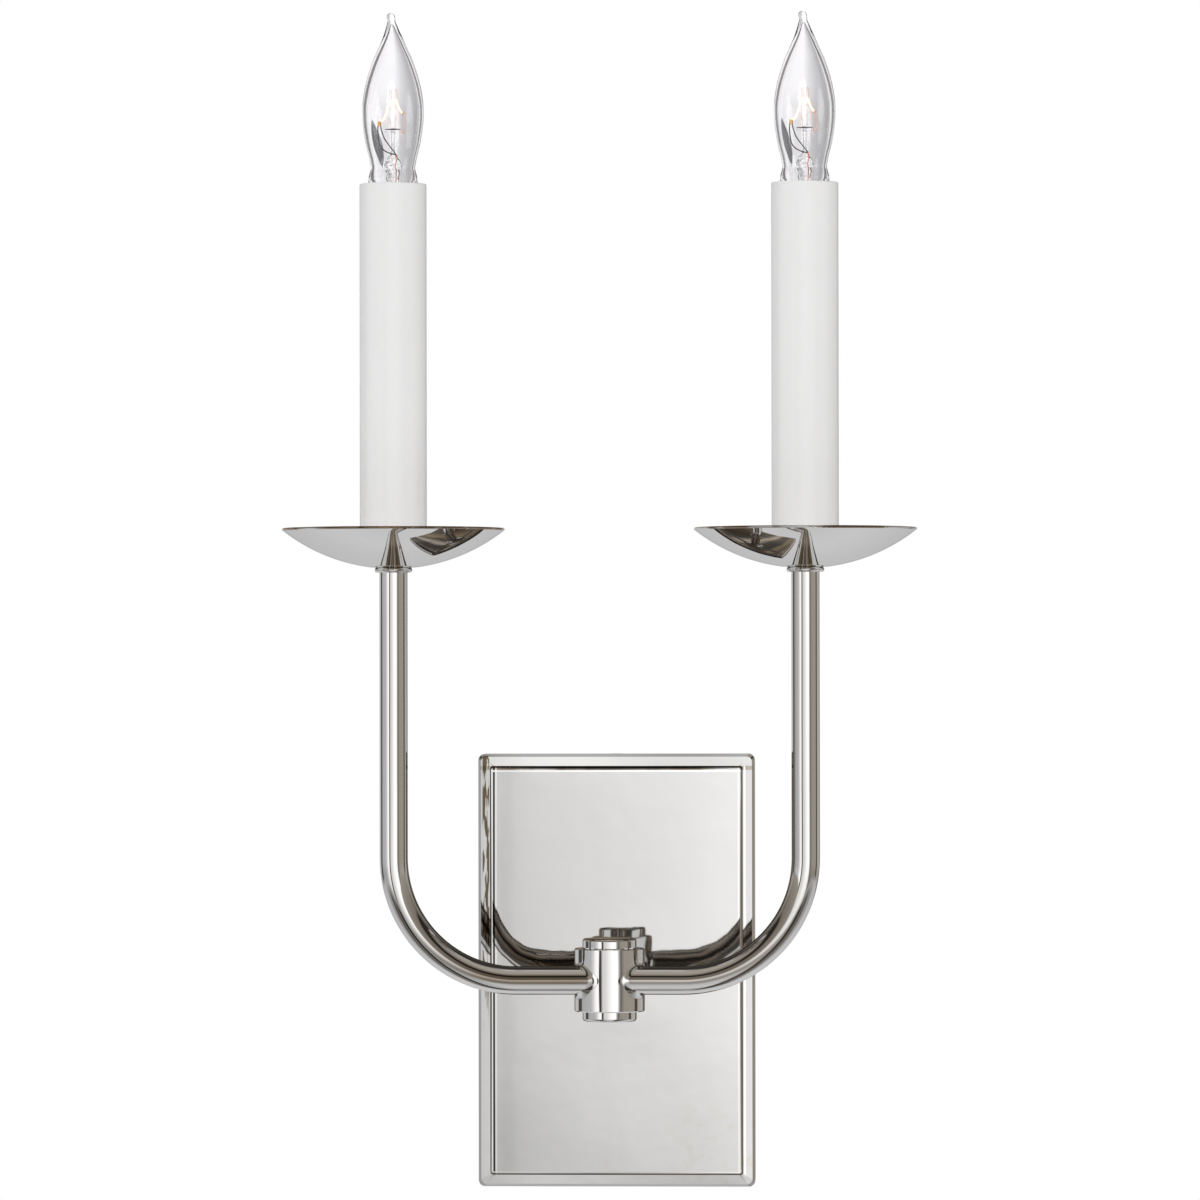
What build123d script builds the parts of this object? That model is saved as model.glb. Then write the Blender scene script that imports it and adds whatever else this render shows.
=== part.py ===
from build123d import *
from math import cos, radians, sqrt
import os

# Double arm wall sconce, in millimetres. X is to the right, +Y goes into the wall and Z is up.
# The origin is the centre of the backplate's rear face, which lies on the wall.

# Fits: threads and pins, seated parts, parts that lie on each other, loose parts
THREAD_GAP = 0.05
SEAT_GAP = 0.1
CONTACT_GAP = 0.02
LOOSE_GAP = 0.3
# How far a cut runs past the face that it opens
OVERCUT = 1.0

# Backplate
PLATE_WIDTH = 101.6
PLATE_HEIGHT = 158.8
PLATE_CORNER = 2.4
PLATE_SHEET = 1.2
SIDE_DEPTH = 13.0
BEVEL_WIDTH = 1.0
BEVEL_DEPTH = 1.0
RIM_WIDTH = 3.4
RIM_RISE = 0.65
STEP_WIDTH = 1.4
PANEL_FRONT = 20.0
PANEL_CORNER = 0.9
PANEL_EDGE_ROUND = 0.5
CROWN_ACROSS = 450.0
CROWN_UPRIGHT = 2600.0

# Mounting strap and its screws
STRAP_WIDTH = 19.0
STRAP_SHEET = 1.6
STRAP_EAR_DEPTH = 11.0
STRAP_EAR_GAP = 1.4
STRAP_BEND = 0.8
BOX_SCREW_SPACING = 88.9
BOX_SLOT_WIDTH = 4.8
BOX_SLOT_LENGTH = 12.0
STRAP_WIRE_HOLE_RADIUS = 7.0
GROUND_SCREW_HEIGHT = -62.0
GROUND_SCREW_RADIUS = 2.0
GROUND_HEAD_THICKNESS = 2.4
GROUND_HEAD_ROUND = 0.8
GROUND_SLOT_WIDTH = 0.9
GROUND_SLOT_DEPTH = 0.9

# Headless screws: in the plate's edges, and in the hub's back
GRUB_RADIUS = 2.0
GRUB_LENGTH = 6.6
GRUB_DEPTH = 6.5
GRUB_SUNK = 0.3
GRUB_KEY = 2.0
GRUB_KEY_DEPTH = 2.5
ARM_GRUB_RADIUS = 1.5
ARM_GRUB_OFFSET = 9.4
ARM_GRUB_LENGTH = 6.0
ARM_GRUB_TIP_GAP = 0.2
ARM_GRUB_KEY = 1.5
ARM_GRUB_KEY_DEPTH = 2.0

# Arms, seen from the front
ARM_RADIUS = 5.05
ARM_BORE_RADIUS = 4.05
ARM_SPACING = 146.7
ARM_SHIFT = -3.3
ARM_BEND_RADIUS = 43.5
ARM_PLANE = -87.4
ARM_TOP = 153.6
ARM_SEAT = 4.2

# Hub and stem
HUB_RADIUS = 12.55
HUB_HALF_HEIGHT = 11.25
HUB_AXIS = -81.2
HUB_BORE_RADIUS = 7.75
HUB_EDGE = 0.35
HUB_WAY_ROUND = 0.4
CAP_RADIUS = 9.65
CAP_THICKNESS = 3.5
CAP_ROUND = 1.0
CAP_PLUG_LENGTH = 3.0
STEM_RADIUS = 6.35
STEM_BORE_RADIUS = 5.2
STEM_SEAT_DEPTH = 2.2
COLLAR_RADIUS = 9.0
COLLAR_THICKNESS = 4.0
PIPE_RADIUS = 5.0
PIPE_BORE_RADIUS = 3.7
PIPE_FRONT = -73.6
PIPE_REAR = -12.4
PIPE_EDGE = 0.4
WASHER_RADIUS = 9.0
WASHER_THICKNESS = 1.0
NUT_ACROSS_FLATS = 14.0
STEM_NUT_THICKNESS = 4.0

# Dish and what clamps it
DISH_RADIUS = 39.5
DISH_BALL_RADIUS = 64.0
DISH_FLAT_RADIUS = 8.0
DISH_SHEET = 1.0
DISH_BOTTOM = 147.0
DISH_LIP_STEP = 0.7
RING_RADIUS = 6.75
RING_THICKNESS = 1.8
DISH_NUT_THICKNESS = 3.0

# Socket bracket and its rivets
BRACKET_SHEET = 1.0
BRACKET_RING_RADIUS = 9.0
BRACKET_RING_THICKNESS = 1.6
BRACKET_LEG_WIDTH = 7.0
BRACKET_LEG_INNER = 8.3
BRACKET_LEG_TOP = 263.0
BRACKET_LEG_ROUND = 3.0
RIVET_HEIGHTS = (250.0, 258.0)
RIVET_RADIUS = 1.5
RIVET_LENGTH = 2.2
RIVET_HEAD_RADIUS = 2.5
RIVET_HEAD_THICKNESS = 0.7

# Socket
SOCKET_RADIUS = 8.2
SOCKET_BOTTOM = 244.0
SOCKET_TOP = 276.5
SOCKET_FLOOR = 252.0
SOCKET_EDGE = 1.2
SOCKET_LIP_HEIGHT = 4.0
SOCKET_LIP_STEP = 0.6
SOCKET_WELL_RADIUS = 3.2
SOCKET_WELL_DEPTH = 1.5
SOCKET_SHELL_RADIUS = 6.5
SOCKET_SHELL_TOP = 275.5
SOCKET_SHELL_SHEET = 0.35
SOCKET_FLANGE_RADIUS = 4.4
CONTACT_FOOT_RADIUS = 2.8
CONTACT_FOOT_TOP = 252.85
CONTACT_RADIUS = 1.4
CONTACT_ROUND = 0.6

# Candle cover
COVER_RADIUS = 11.95
COVER_BORE_RADIUS = 10.75
COVER_TOP = 283.6

# Bulb's candelabra base
BULB_SHELL_RADIUS = 5.9
BULB_SHELL_SHEET = 0.35
BULB_SHELL_BOTTOM = 259.2
BULB_SHELL_TOP = 276.4
BULB_SHELL_ROLL = 1.0
BULB_TIP_BOTTOM = 255.0
BULB_TIP_RADIUS = 2.2
BULB_TIP_HEIGHT = 1.15
BULB_TIP_CROWN = 0.35
INSULATOR_BOTTOM = 256.2
INSULATOR_TOP = 260.8
INSULATOR_LOW_RADIUS = 2.8
INSULATOR_RADIUS = 4.3

# Bulb's glass: points on its outline as (radius, height), from the neck to the tip
GLASS_SHEET = 0.6
GLASS_NECK_RADIUS = 5.4
GLASS_NECK_BOTTOM = 266.0
GLASS_NECK_TOP = 276.6
GLASS_FOOT = (8.85, 283.8)
GLASS_WAIST = (7.95, 289.3)
GLASS_SHOULDER = (9.7, 297.7)
GLASS_WIDEST = (10.97, 309.5)
GLASS_TAPER = (8.65, 323.3)
GLASS_POINT = (4.15, 334.6)
GLASS_END = (1.4, 341.8)
GLASS_TIP_RADIUS = 1.55
GLASS_TIP_HEIGHT = 343.2
GLASS_TIP_BEND = -0.8

# Inside the bulb: glass mount, lead wires, filament and its hook
MOUNT_RADIUS = 1.5
MOUNT_FOOT_RADIUS = 2.5
MOUNT_FOOT_BOTTOM = 267.0
MOUNT_FOOT_TOP = 272.0
MOUNT_WAIST_RADIUS = 2.2
MOUNT_WAIST_HEIGHT = 284.0
MOUNT_ROD_HEIGHT = 289.0
MOUNT_TOP = 297.0
MOUNT_TOP_RADIUS = 0.9
BUTTON_HEIGHT = 303.2
BUTTON_RADIUS = 0.8
BUTTON_LENGTH = 4.6
STALK_RADIUS = 0.45
LEAD_RADIUS = 0.3
LEAD_OFFSET = 1.9
LEAD_BOTTOM = 291.0
LEAD_KNEE = 295.5
LEAD_ELBOW = 300.0
LEAD_BENDS = (2.0, 1.6)
FILAMENT_RADIUS = 0.22
FILAMENT_SPREAD = 4.6
FILAMENT_PEAK = 313.9
FILAMENT_ENDS = {-1: 305.3, 1: 308.8}
FILAMENT_BEND = 0.8
LEAD_TIP_GAP = 0.4
HOOK_RADIUS = 0.15
HOOK_GAP = 1.4

# Wires and their twist-on connectors
WIRE_RADIUS = 0.75
WIRE_OFFSET = 0.9
WIRE_TURN_RADIUS = 4.6
WIRE_DROP_RADIUS = 4.0
WIRE_END_DEPTH = 5.0
WIRE_WAY_DEPTH = 5.5
WIRE_BEHIND_PIPE = 0.9
WIRE_IN_CONNECTOR = 10.0
CONNECTOR_START = 12.0
CONNECTOR_LENGTH = 20.0
CONNECTOR_SKIRT = 3.0
CONNECTOR_MOUTH_RADIUS = 5.2
CONNECTOR_TIP_RADIUS = 4.3
CONNECTOR_TIP_BEVEL = 1.5
CONNECTOR_BORE_RADIUS = 3.9
CONNECTOR_BORE_DEPTH = 11.0
CONNECTOR_WING_REACH = 6.0
CONNECTOR_WING_SIZE = (3.0, 1.6, 9.0)
CONNECTOR_WING_ROUND = 1.2

SIDES = {"left": -1, "right": 1}

os.makedirs("parts", exist_ok=True)


def save(shape, name):
    """Write one sub-part under its node name."""
    export_step(shape, f"parts/{name}.step")


def arm_x(side):
    """Where the upright part of an arm stands."""
    return ARM_SHIFT + SIDES[side] * ARM_SPACING / 2


def towards_wall(x, y, z):
    """A plane at a point whose normal runs into the wall, with Z up in it."""
    return Plane(origin=(x, y, z), x_dir=(-1, 0, 0), z_dir=(0, 1, 0))


def rod(x, z, y_front, y_rear, radius):
    """A round bar along Y."""
    return extrude(towards_wall(x, y_front, z) * Circle(radius), y_rear - y_front)


def post(x, y, z_low, z_high, radius):
    """A round bar along Z."""
    return extrude(Plane((x, y, z_low)) * Circle(radius), z_high - z_low)


def turned(side, face):
    """Turn a face, drawn as (radius, height), about an arm's upright axis."""
    return Pos(arm_x(side), ARM_PLANE, 0) * revolve(Plane.XZ * face, Axis.Z)


def tube_along(points, bend_radii, radius):
    """A round bar along straight runs, with a tangent bend at each corner."""
    path = FilletPolyline(*points, radius=bend_radii)
    section = Plane(origin=path @ 0, z_dir=path % 0) * Circle(radius)
    return sweep(section, path=path)


# ---------------------------------------------------------------- backplate


def plate_section(inset, corner, depth):
    """The plate's outline, drawn in by an inset, at a depth in front of the wall."""
    width = PLATE_WIDTH - 2 * inset
    height = PLATE_HEIGHT - 2 * inset
    return towards_wall(0, -depth, 0) * RectangleRounded(width, height, corner)


def crown(front):
    """A barrel whose front is curved a little both ways, to cut the panel's crowned face."""
    half = PLATE_HEIGHT / 2
    end_radius = CROWN_ACROSS - CROWN_UPRIGHT + sqrt(CROWN_UPRIGHT**2 - half**2)
    bulge = ThreePointArc((end_radius, -half), (CROWN_ACROSS, 0), (end_radius, half))
    rest = Polyline((end_radius, half), (0, half), (0, -half), (end_radius, -half))
    barrel = revolve(Plane.XZ * make_face([bulge, rest]), Axis.Z)
    return Pos(0, CROWN_ACROSS - front, 0) * barrel


def plate_form(skin):
    """The plate's outer form, drawn in all round by a skin thickness."""
    corner = PLATE_CORNER - skin / 2
    side_depth = SIDE_DEPTH - skin
    bevel_depth = side_depth + BEVEL_DEPTH
    rim_depth = bevel_depth + RIM_RISE
    step_low = BEVEL_WIDTH + RIM_WIDTH + skin
    side_end = plate_section(skin, corner, side_depth)
    bevel_end = plate_section(BEVEL_WIDTH + skin, corner - BEVEL_WIDTH / 2, bevel_depth)
    rim_end = plate_section(step_low, PANEL_CORNER, rim_depth)
    panel_end = plate_section(step_low + STEP_WIDTH, PANEL_CORNER, PANEL_FRONT + OVERCUT)
    sides = extrude(plate_section(skin, corner, 0), -side_depth)
    bevel = loft([side_end, bevel_end], ruled=True)
    rim = loft([bevel_end, rim_end], ruled=True)
    panel = loft([rim_end, panel_end], ruled=True) & crown(PANEL_FRONT - skin)
    return sides + bevel + rim + panel


def backplate():
    """The stepped canopy: its form hollowed by the same form one sheet smaller."""
    outer = plate_form(0)
    crowned_face = outer.faces().sort_by(Axis.Y)[0]
    outer = fillet(crowned_face.edges(), PANEL_EDGE_ROUND)
    shell = outer - plate_form(PLATE_SHEET)
    shell -= rod(0, 0, -PANEL_FRONT - OVERCUT, -SIDE_DEPTH, PIPE_RADIUS + LOOSE_GAP)
    for end in (-1, 1):
        outside = (0, -GRUB_DEPTH, end * (PLATE_HEIGHT / 2 + OVERCUT))
        hole = Plane(origin=outside, z_dir=(0, 0, -end)) * Circle(GRUB_RADIUS + LOOSE_GAP)
        shell -= extrude(hole, PLATE_SHEET + 2 * OVERCUT)
    return shell


def mounting_strap():
    """A steel strip with an ear bent forward at each end."""
    half = PLATE_HEIGHT / 2 - PLATE_SHEET - STRAP_EAR_GAP
    inner = half - STRAP_SHEET
    outline = Polyline(
        (0, -half), (0, half), (-STRAP_EAR_DEPTH, half), (-STRAP_EAR_DEPTH, inner),
        (-STRAP_SHEET, inner), (-STRAP_SHEET, -inner), (-STRAP_EAR_DEPTH, -inner),
        (-STRAP_EAR_DEPTH, -half), (0, -half),
    )
    profile = make_face(outline)
    for depth, bend in ((-STRAP_SHEET, STRAP_BEND), (0, STRAP_BEND + STRAP_SHEET)):
        corners = profile.vertices().filter_by_position(Axis.X, depth, depth)
        profile = fillet(corners, bend)
    strap = extrude(Plane.YZ * profile, STRAP_WIDTH / 2, both=True)
    front = -STRAP_SHEET - OVERCUT
    slot = SlotOverall(BOX_SLOT_LENGTH, BOX_SLOT_WIDTH, rotation=90)
    for end in (-1, 1):
        place = towards_wall(0, front, end * BOX_SCREW_SPACING / 2)
        strap -= extrude(place * slot, OVERCUT - front)
        ear = sorted((end * (inner - OVERCUT), end * (half + OVERCUT)))
        strap -= post(0, -GRUB_DEPTH, ear[0], ear[1], GRUB_RADIUS + THREAD_GAP)
    strap -= rod(0, 0, front, OVERCUT, STRAP_WIRE_HOLE_RADIUS)
    strap -= rod(0, GROUND_SCREW_HEIGHT, front, OVERCUT, GROUND_SCREW_RADIUS + THREAD_GAP)
    return strap


def hex_socket(plane, across_flats, depth):
    """The hollow for a hexagon key, sunk from a plane."""
    return extrude(plane * RegularPolygon(across_flats / 2, 6, major_radius=False), -depth)


def plate_grub_screws():
    """Headless screws, flush in the plate's top and bottom edges."""
    screws = []
    for end in (-1, 1):
        outer_end = (0, -GRUB_DEPTH, end * (PLATE_HEIGHT / 2 - GRUB_SUNK))
        top = Plane(origin=outer_end, z_dir=(0, 0, end))
        screw = extrude(top * Circle(GRUB_RADIUS), -GRUB_LENGTH)
        screws.append(screw - hex_socket(top, GRUB_KEY, GRUB_KEY_DEPTH))
    return Compound(children=screws)


def ground_screw():
    """A slotted pan head screw in the strap."""
    front = -STRAP_SHEET - GROUND_HEAD_THICKNESS
    seat = -STRAP_SHEET - CONTACT_GAP
    head = rod(0, GROUND_SCREW_HEIGHT, front, seat, 2 * GROUND_SCREW_RADIUS)
    head = fillet(head.edges().group_by(Axis.Y)[0], GROUND_HEAD_ROUND)
    shank = rod(0, GROUND_SCREW_HEIGHT, seat, -SEAT_GAP, GROUND_SCREW_RADIUS)
    slot = Box(8 * GROUND_SCREW_RADIUS, 2 * GROUND_SLOT_DEPTH, GROUND_SLOT_WIDTH)
    return head + shank - Pos(0, front, GROUND_SCREW_HEIGHT) * slot


# ---------------------------------------------------------------- hub and stem


def is_arm_mouth(edge):
    """Whether an edge is where an arm's way leaves the hub's outer face."""
    middle = edge.position_at(0.5) - Vector(0, HUB_AXIS, 0)
    from_axis = sqrt(middle.X**2 + middle.Y**2)
    inside_height = abs(middle.Z) < ARM_RADIUS + 2 * THREAD_GAP
    return inside_height and abs(from_axis - HUB_RADIUS) < THREAD_GAP


def hub_body():
    """An upright cylinder, cross-drilled for the arms in front and the stem behind."""
    body = post(0, HUB_AXIS, -HUB_HALF_HEIGHT, HUB_HALF_HEIGHT, HUB_RADIUS)
    body = chamfer(body.edges().filter_by(GeomType.CIRCLE), HUB_EDGE)
    bore_end = HUB_HALF_HEIGHT + OVERCUT
    body -= post(0, HUB_AXIS, -bore_end, bore_end, HUB_BORE_RADIUS)
    arm_way = Plane(origin=(-2 * HUB_RADIUS, ARM_PLANE, 0), z_dir=(1, 0, 0))
    body -= extrude(arm_way * Circle(ARM_RADIUS + THREAD_GAP), 4 * HUB_RADIUS)
    mouths = [edge for edge in body.edges() if is_arm_mouth(edge)]
    body = fillet(mouths, HUB_WAY_ROUND)
    rear = HUB_AXIS + HUB_RADIUS
    body -= rod(0, 0, HUB_AXIS, rear + OVERCUT, PIPE_RADIUS + THREAD_GAP)
    body -= rod(0, 0, rear - STEM_SEAT_DEPTH, rear + OVERCUT, STEM_RADIUS + SEAT_GAP)
    for end in (-1, 1):
        way = ARM_GRUB_RADIUS + THREAD_GAP
        body -= rod(end * ARM_GRUB_OFFSET, 0, ARM_PLANE, rear + OVERCUT, way)
    return body


def hub_cap(end):
    """A disc with a plug that fits the hub's bore."""
    top = HUB_HALF_HEIGHT
    disc = post(0, HUB_AXIS, top, top + CAP_THICKNESS, CAP_RADIUS)
    disc = fillet(disc.edges().filter_by(GeomType.CIRCLE).group_by(Axis.Z)[-1], CAP_ROUND)
    cap = disc + post(0, HUB_AXIS, top - CAP_PLUG_LENGTH, top, HUB_BORE_RADIUS - THREAD_GAP)
    return cap if end == "top" else mirror(cap, about=Plane.XY)


def arm_grub_screws():
    """Headless screws through the hub's back that bear on the arms."""
    tip = ARM_PLANE + ARM_RADIUS + ARM_GRUB_TIP_GAP
    rear = tip + ARM_GRUB_LENGTH
    screws = []
    for end in (-1, 1):
        screw = rod(end * ARM_GRUB_OFFSET, 0, tip, rear, ARM_GRUB_RADIUS)
        back = towards_wall(end * ARM_GRUB_OFFSET, rear, 0)
        screws.append(screw - hex_socket(back, ARM_GRUB_KEY, ARM_GRUB_KEY_DEPTH))
    return Compound(children=screws)


def stem_tube():
    """The plain tube between the hub and the collar, seated in both."""
    front = HUB_AXIS + HUB_RADIUS - STEM_SEAT_DEPTH + SEAT_GAP / 2
    rear = -PANEL_FRONT - COLLAR_THICKNESS + STEM_SEAT_DEPTH - SEAT_GAP / 2
    bore = rod(0, 0, front - OVERCUT, rear + OVERCUT, STEM_BORE_RADIUS)
    return rod(0, 0, front, rear, STEM_RADIUS) - bore


def stem_collar():
    """A turned foot between the stem and the backplate."""
    front = -PANEL_FRONT - COLLAR_THICKNESS
    rear = -PANEL_FRONT - CONTACT_GAP
    collar = rod(0, 0, front, rear, COLLAR_RADIUS)
    collar = fillet(collar.edges().group_by(Axis.Y)[0], COLLAR_THICKNESS / 3)
    collar -= rod(0, 0, front - OVERCUT, rear + OVERCUT, STEM_BORE_RADIUS)
    return collar - rod(0, 0, front - OVERCUT, front + STEM_SEAT_DEPTH, STEM_RADIUS + SEAT_GAP)


def stem_pipe():
    """The threaded pipe that clamps hub, stem, collar and plate, and carries the wires."""
    pipe = rod(0, 0, PIPE_FRONT, PIPE_REAR, PIPE_RADIUS)
    pipe = chamfer(pipe.edges().filter_by(GeomType.CIRCLE), PIPE_EDGE)
    return pipe - rod(0, 0, PIPE_FRONT - OVERCUT, PIPE_REAR + OVERCUT, PIPE_BORE_RADIUS)


def stem_washer():
    """The washer inside the canopy."""
    front = -PANEL_FRONT + PLATE_SHEET + SEAT_GAP
    rear = front + WASHER_THICKNESS
    bore = rod(0, 0, front - OVERCUT, rear + OVERCUT, PIPE_RADIUS + THREAD_GAP)
    return rod(0, 0, front, rear, WASHER_RADIUS) - bore


def hex_nut(plane, thickness, bore_radius):
    """A hexagon nut with its corners turned off on both faces."""
    blank = extrude(plane * RegularPolygon(NUT_ACROSS_FLATS / 2, 6, major_radius=False), thickness)
    corner_radius = NUT_ACROSS_FLATS / 2 / cos(radians(30))
    disc = extrude(plane * Circle(corner_radius), thickness)
    blank &= chamfer(disc.edges().filter_by(GeomType.CIRCLE), thickness / 6)
    return blank - extrude(plane * Circle(bore_radius), thickness)


def stem_nut():
    """The nut that draws the stem against the canopy."""
    front = -PANEL_FRONT + PLATE_SHEET + 2 * SEAT_GAP + WASHER_THICKNESS
    return hex_nut(towards_wall(0, front, 0), STEM_NUT_THICKNESS, PIPE_RADIUS + THREAD_GAP)


# ---------------------------------------------------------------- arms, rings and dishes


def arm(side):
    """A tube from the hub outwards, through the quarter bend and up to the dish."""
    x = arm_x(side)
    points = [(SIDES[side] * ARM_SEAT, ARM_PLANE, 0), (x, ARM_PLANE, 0), (x, ARM_PLANE, ARM_TOP)]
    bend = [ARM_BEND_RADIUS]
    return tube_along(points, bend, ARM_RADIUS) - tube_along(points, bend, ARM_BORE_RADIUS)


def dish_ring(side):
    """A small ring with a half-round edge, under the dish."""
    low = DISH_BOTTOM - RING_THICKNESS
    mid = DISH_BOTTOM - RING_THICKNESS / 2
    bore = ARM_RADIUS + THREAD_GAP
    straight = RING_RADIUS - RING_THICKNESS / 2
    edge = ThreePointArc((straight, low), (RING_RADIUS, mid), (straight, DISH_BOTTOM))
    rest = Polyline((straight, DISH_BOTTOM), (bore, DISH_BOTTOM), (bore, low), (straight, low))
    return turned(side, make_face([edge, rest]))


def dish_height(radius, skin):
    """Height of the ball-shaped dish at a radius: its underside, or its inside if skin is not 0."""
    flat_drop = DISH_BALL_RADIUS - sqrt(DISH_BALL_RADIUS**2 - DISH_FLAT_RADIUS**2)
    centre = DISH_BOTTOM - flat_drop + DISH_BALL_RADIUS
    return centre - sqrt((DISH_BALL_RADIUS - skin) ** 2 - radius**2)


def dish_seat_height():
    """The top of the dish's flat middle."""
    return dish_height(DISH_FLAT_RADIUS, DISH_SHEET)


def dish(side):
    """A spun bowl with a flat seat in the middle and a rounded lip."""
    bore = ARM_RADIUS + SEAT_GAP
    inner_rim = DISH_RADIUS - DISH_LIP_STEP
    halfway = (DISH_RADIUS + DISH_FLAT_RADIUS) / 2
    under = ThreePointArc(
        (DISH_FLAT_RADIUS, dish_height(DISH_FLAT_RADIUS, 0)),
        (halfway, dish_height(halfway, 0)),
        (DISH_RADIUS, dish_height(DISH_RADIUS, 0)),
    )
    inside = ThreePointArc(
        (inner_rim, dish_height(inner_rim, DISH_SHEET)),
        (halfway, dish_height(halfway, DISH_SHEET)),
        (DISH_FLAT_RADIUS, dish_seat_height()),
    )
    lip = TangentArc(under @ 1, inside @ 0, tangent=under % 1)
    seat = Polyline(inside @ 1, (bore, dish_seat_height()), (bore, DISH_BOTTOM), under @ 0)
    return turned(side, make_face([under, lip, inside, seat]))


def dish_nut(side):
    """The nut on the arm's threaded end that holds the dish."""
    plane = Plane((arm_x(side), ARM_PLANE, dish_seat_height() + THREAD_GAP))
    return hex_nut(plane, DISH_NUT_THICKNESS, ARM_RADIUS + THREAD_GAP)


# ---------------------------------------------------------------- socket and cover


def socket_bracket(side):
    """A ring screwed on the arm's end, with a leg bent up to the socket."""
    x = arm_x(side)
    low = dish_seat_height() + DISH_NUT_THICKNESS + SEAT_GAP + THREAD_GAP
    high = low + BRACKET_RING_THICKNESS
    leg_front = ARM_PLANE + BRACKET_LEG_INNER
    leg_back = leg_front + BRACKET_SHEET
    leg_height = BRACKET_LEG_TOP - low
    leg = Box(BRACKET_LEG_WIDTH, BRACKET_SHEET, leg_height)
    leg = Pos(x, (leg_front + leg_back) / 2, low + leg_height / 2) * leg
    leg = fillet(leg.edges().filter_by(Axis.Y).group_by(Axis.Z)[-1], BRACKET_LEG_ROUND)
    bracket = post(x, ARM_PLANE, low, high, BRACKET_RING_RADIUS) + leg
    bracket -= post(x, ARM_PLANE, low - OVERCUT, high + OVERCUT, ARM_RADIUS + THREAD_GAP)
    for height in RIVET_HEIGHTS:
        way = RIVET_RADIUS + THREAD_GAP
        bracket -= rod(x, height, leg_front - OVERCUT, leg_back + OVERCUT, way)
    return bracket


def socket_rivets(side):
    """Two round head rivets that hold the socket on its leg."""
    x = arm_x(side)
    leg_back = ARM_PLANE + BRACKET_LEG_INNER + BRACKET_SHEET
    rivets = []
    for height in RIVET_HEIGHTS:
        seat = leg_back + CONTACT_GAP
        head = rod(x, height, seat, leg_back + RIVET_HEAD_THICKNESS, RIVET_HEAD_RADIUS)
        head = fillet(head.edges().group_by(Axis.Y)[-1], RIVET_HEAD_THICKNESS / 2)
        rivets.append(head + rod(x, height, leg_back - RIVET_LENGTH, seat, RIVET_RADIUS))
    return Compound(children=rivets)


def socket_body(side):
    """The moulded insulator: a cup with a stepped top, wire holes below and blind rivet holes."""
    x = arm_x(side)
    cup_radius = SOCKET_SHELL_RADIUS + THREAD_GAP
    lip_radius = SOCKET_RADIUS - SOCKET_LIP_STEP
    lip_bottom = SOCKET_TOP - SOCKET_LIP_HEIGHT
    well_top = SOCKET_FLOOR + SOCKET_WELL_DEPTH
    outline = Polyline(
        (0, SOCKET_BOTTOM), (SOCKET_RADIUS - SOCKET_EDGE, SOCKET_BOTTOM),
        (SOCKET_RADIUS, SOCKET_BOTTOM + SOCKET_EDGE), (SOCKET_RADIUS, lip_bottom),
        (lip_radius, lip_bottom), (lip_radius, SOCKET_TOP), (cup_radius, SOCKET_TOP),
        (cup_radius, well_top), (SOCKET_WELL_RADIUS, well_top),
        (SOCKET_WELL_RADIUS, SOCKET_FLOOR), (0, SOCKET_FLOOR), (0, SOCKET_BOTTOM),
    )
    body = turned(side, make_face(outline))
    wire_way = WIRE_RADIUS + SEAT_GAP
    way_top = SOCKET_BOTTOM + WIRE_WAY_DEPTH
    for end in (-1, 1):
        y = ARM_PLANE + end * WIRE_OFFSET
        body -= post(x, y, SOCKET_BOTTOM - OVERCUT, way_top, wire_way)
    leg_back = ARM_PLANE + BRACKET_LEG_INNER + BRACKET_SHEET
    for height in RIVET_HEIGHTS:
        way = RIVET_RADIUS + THREAD_GAP
        body -= rod(x, height, leg_back - RIVET_LENGTH - 2 * SEAT_GAP, leg_back, way)
    return body


def socket_shell(side):
    """The socket's metal shell, with a floor flange."""
    low = SOCKET_FLOOR + SOCKET_WELL_DEPTH + THREAD_GAP
    inner = SOCKET_SHELL_RADIUS - SOCKET_SHELL_SHEET
    flange_top = low + SOCKET_SHELL_SHEET
    outline = Polyline(
        (SOCKET_SHELL_RADIUS, low), (SOCKET_SHELL_RADIUS, SOCKET_SHELL_TOP),
        (inner, SOCKET_SHELL_TOP),
        (inner, flange_top), (SOCKET_FLANGE_RADIUS, flange_top), (SOCKET_FLANGE_RADIUS, low),
        (SOCKET_SHELL_RADIUS, low),
    )
    return turned(side, make_face(outline))


def socket_contact(side):
    """The centre contact: a flat foot with a raised button."""
    x = arm_x(side)
    low = SOCKET_FLOOR + THREAD_GAP
    foot = post(x, ARM_PLANE, low, CONTACT_FOOT_TOP, CONTACT_FOOT_RADIUS)
    button = post(x, ARM_PLANE, low, BULB_TIP_BOTTOM - LOOSE_GAP, CONTACT_RADIUS)
    return foot + fillet(button.edges().group_by(Axis.Z)[-1], CONTACT_ROUND)


def candle_cover(side):
    """The long sleeve that hides the socket, with softened ends."""
    bottom = dish_height(COVER_RADIUS, DISH_SHEET) + LOOSE_GAP
    wall = COVER_RADIUS - COVER_BORE_RADIUS
    centre = ((COVER_RADIUS + COVER_BORE_RADIUS) / 2, (bottom + COVER_TOP) / 2)
    section = Pos(*centre) * RectangleRounded(wall, COVER_TOP - bottom, wall / 4)
    return turned(side, section)


# ---------------------------------------------------------------- bulb


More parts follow.
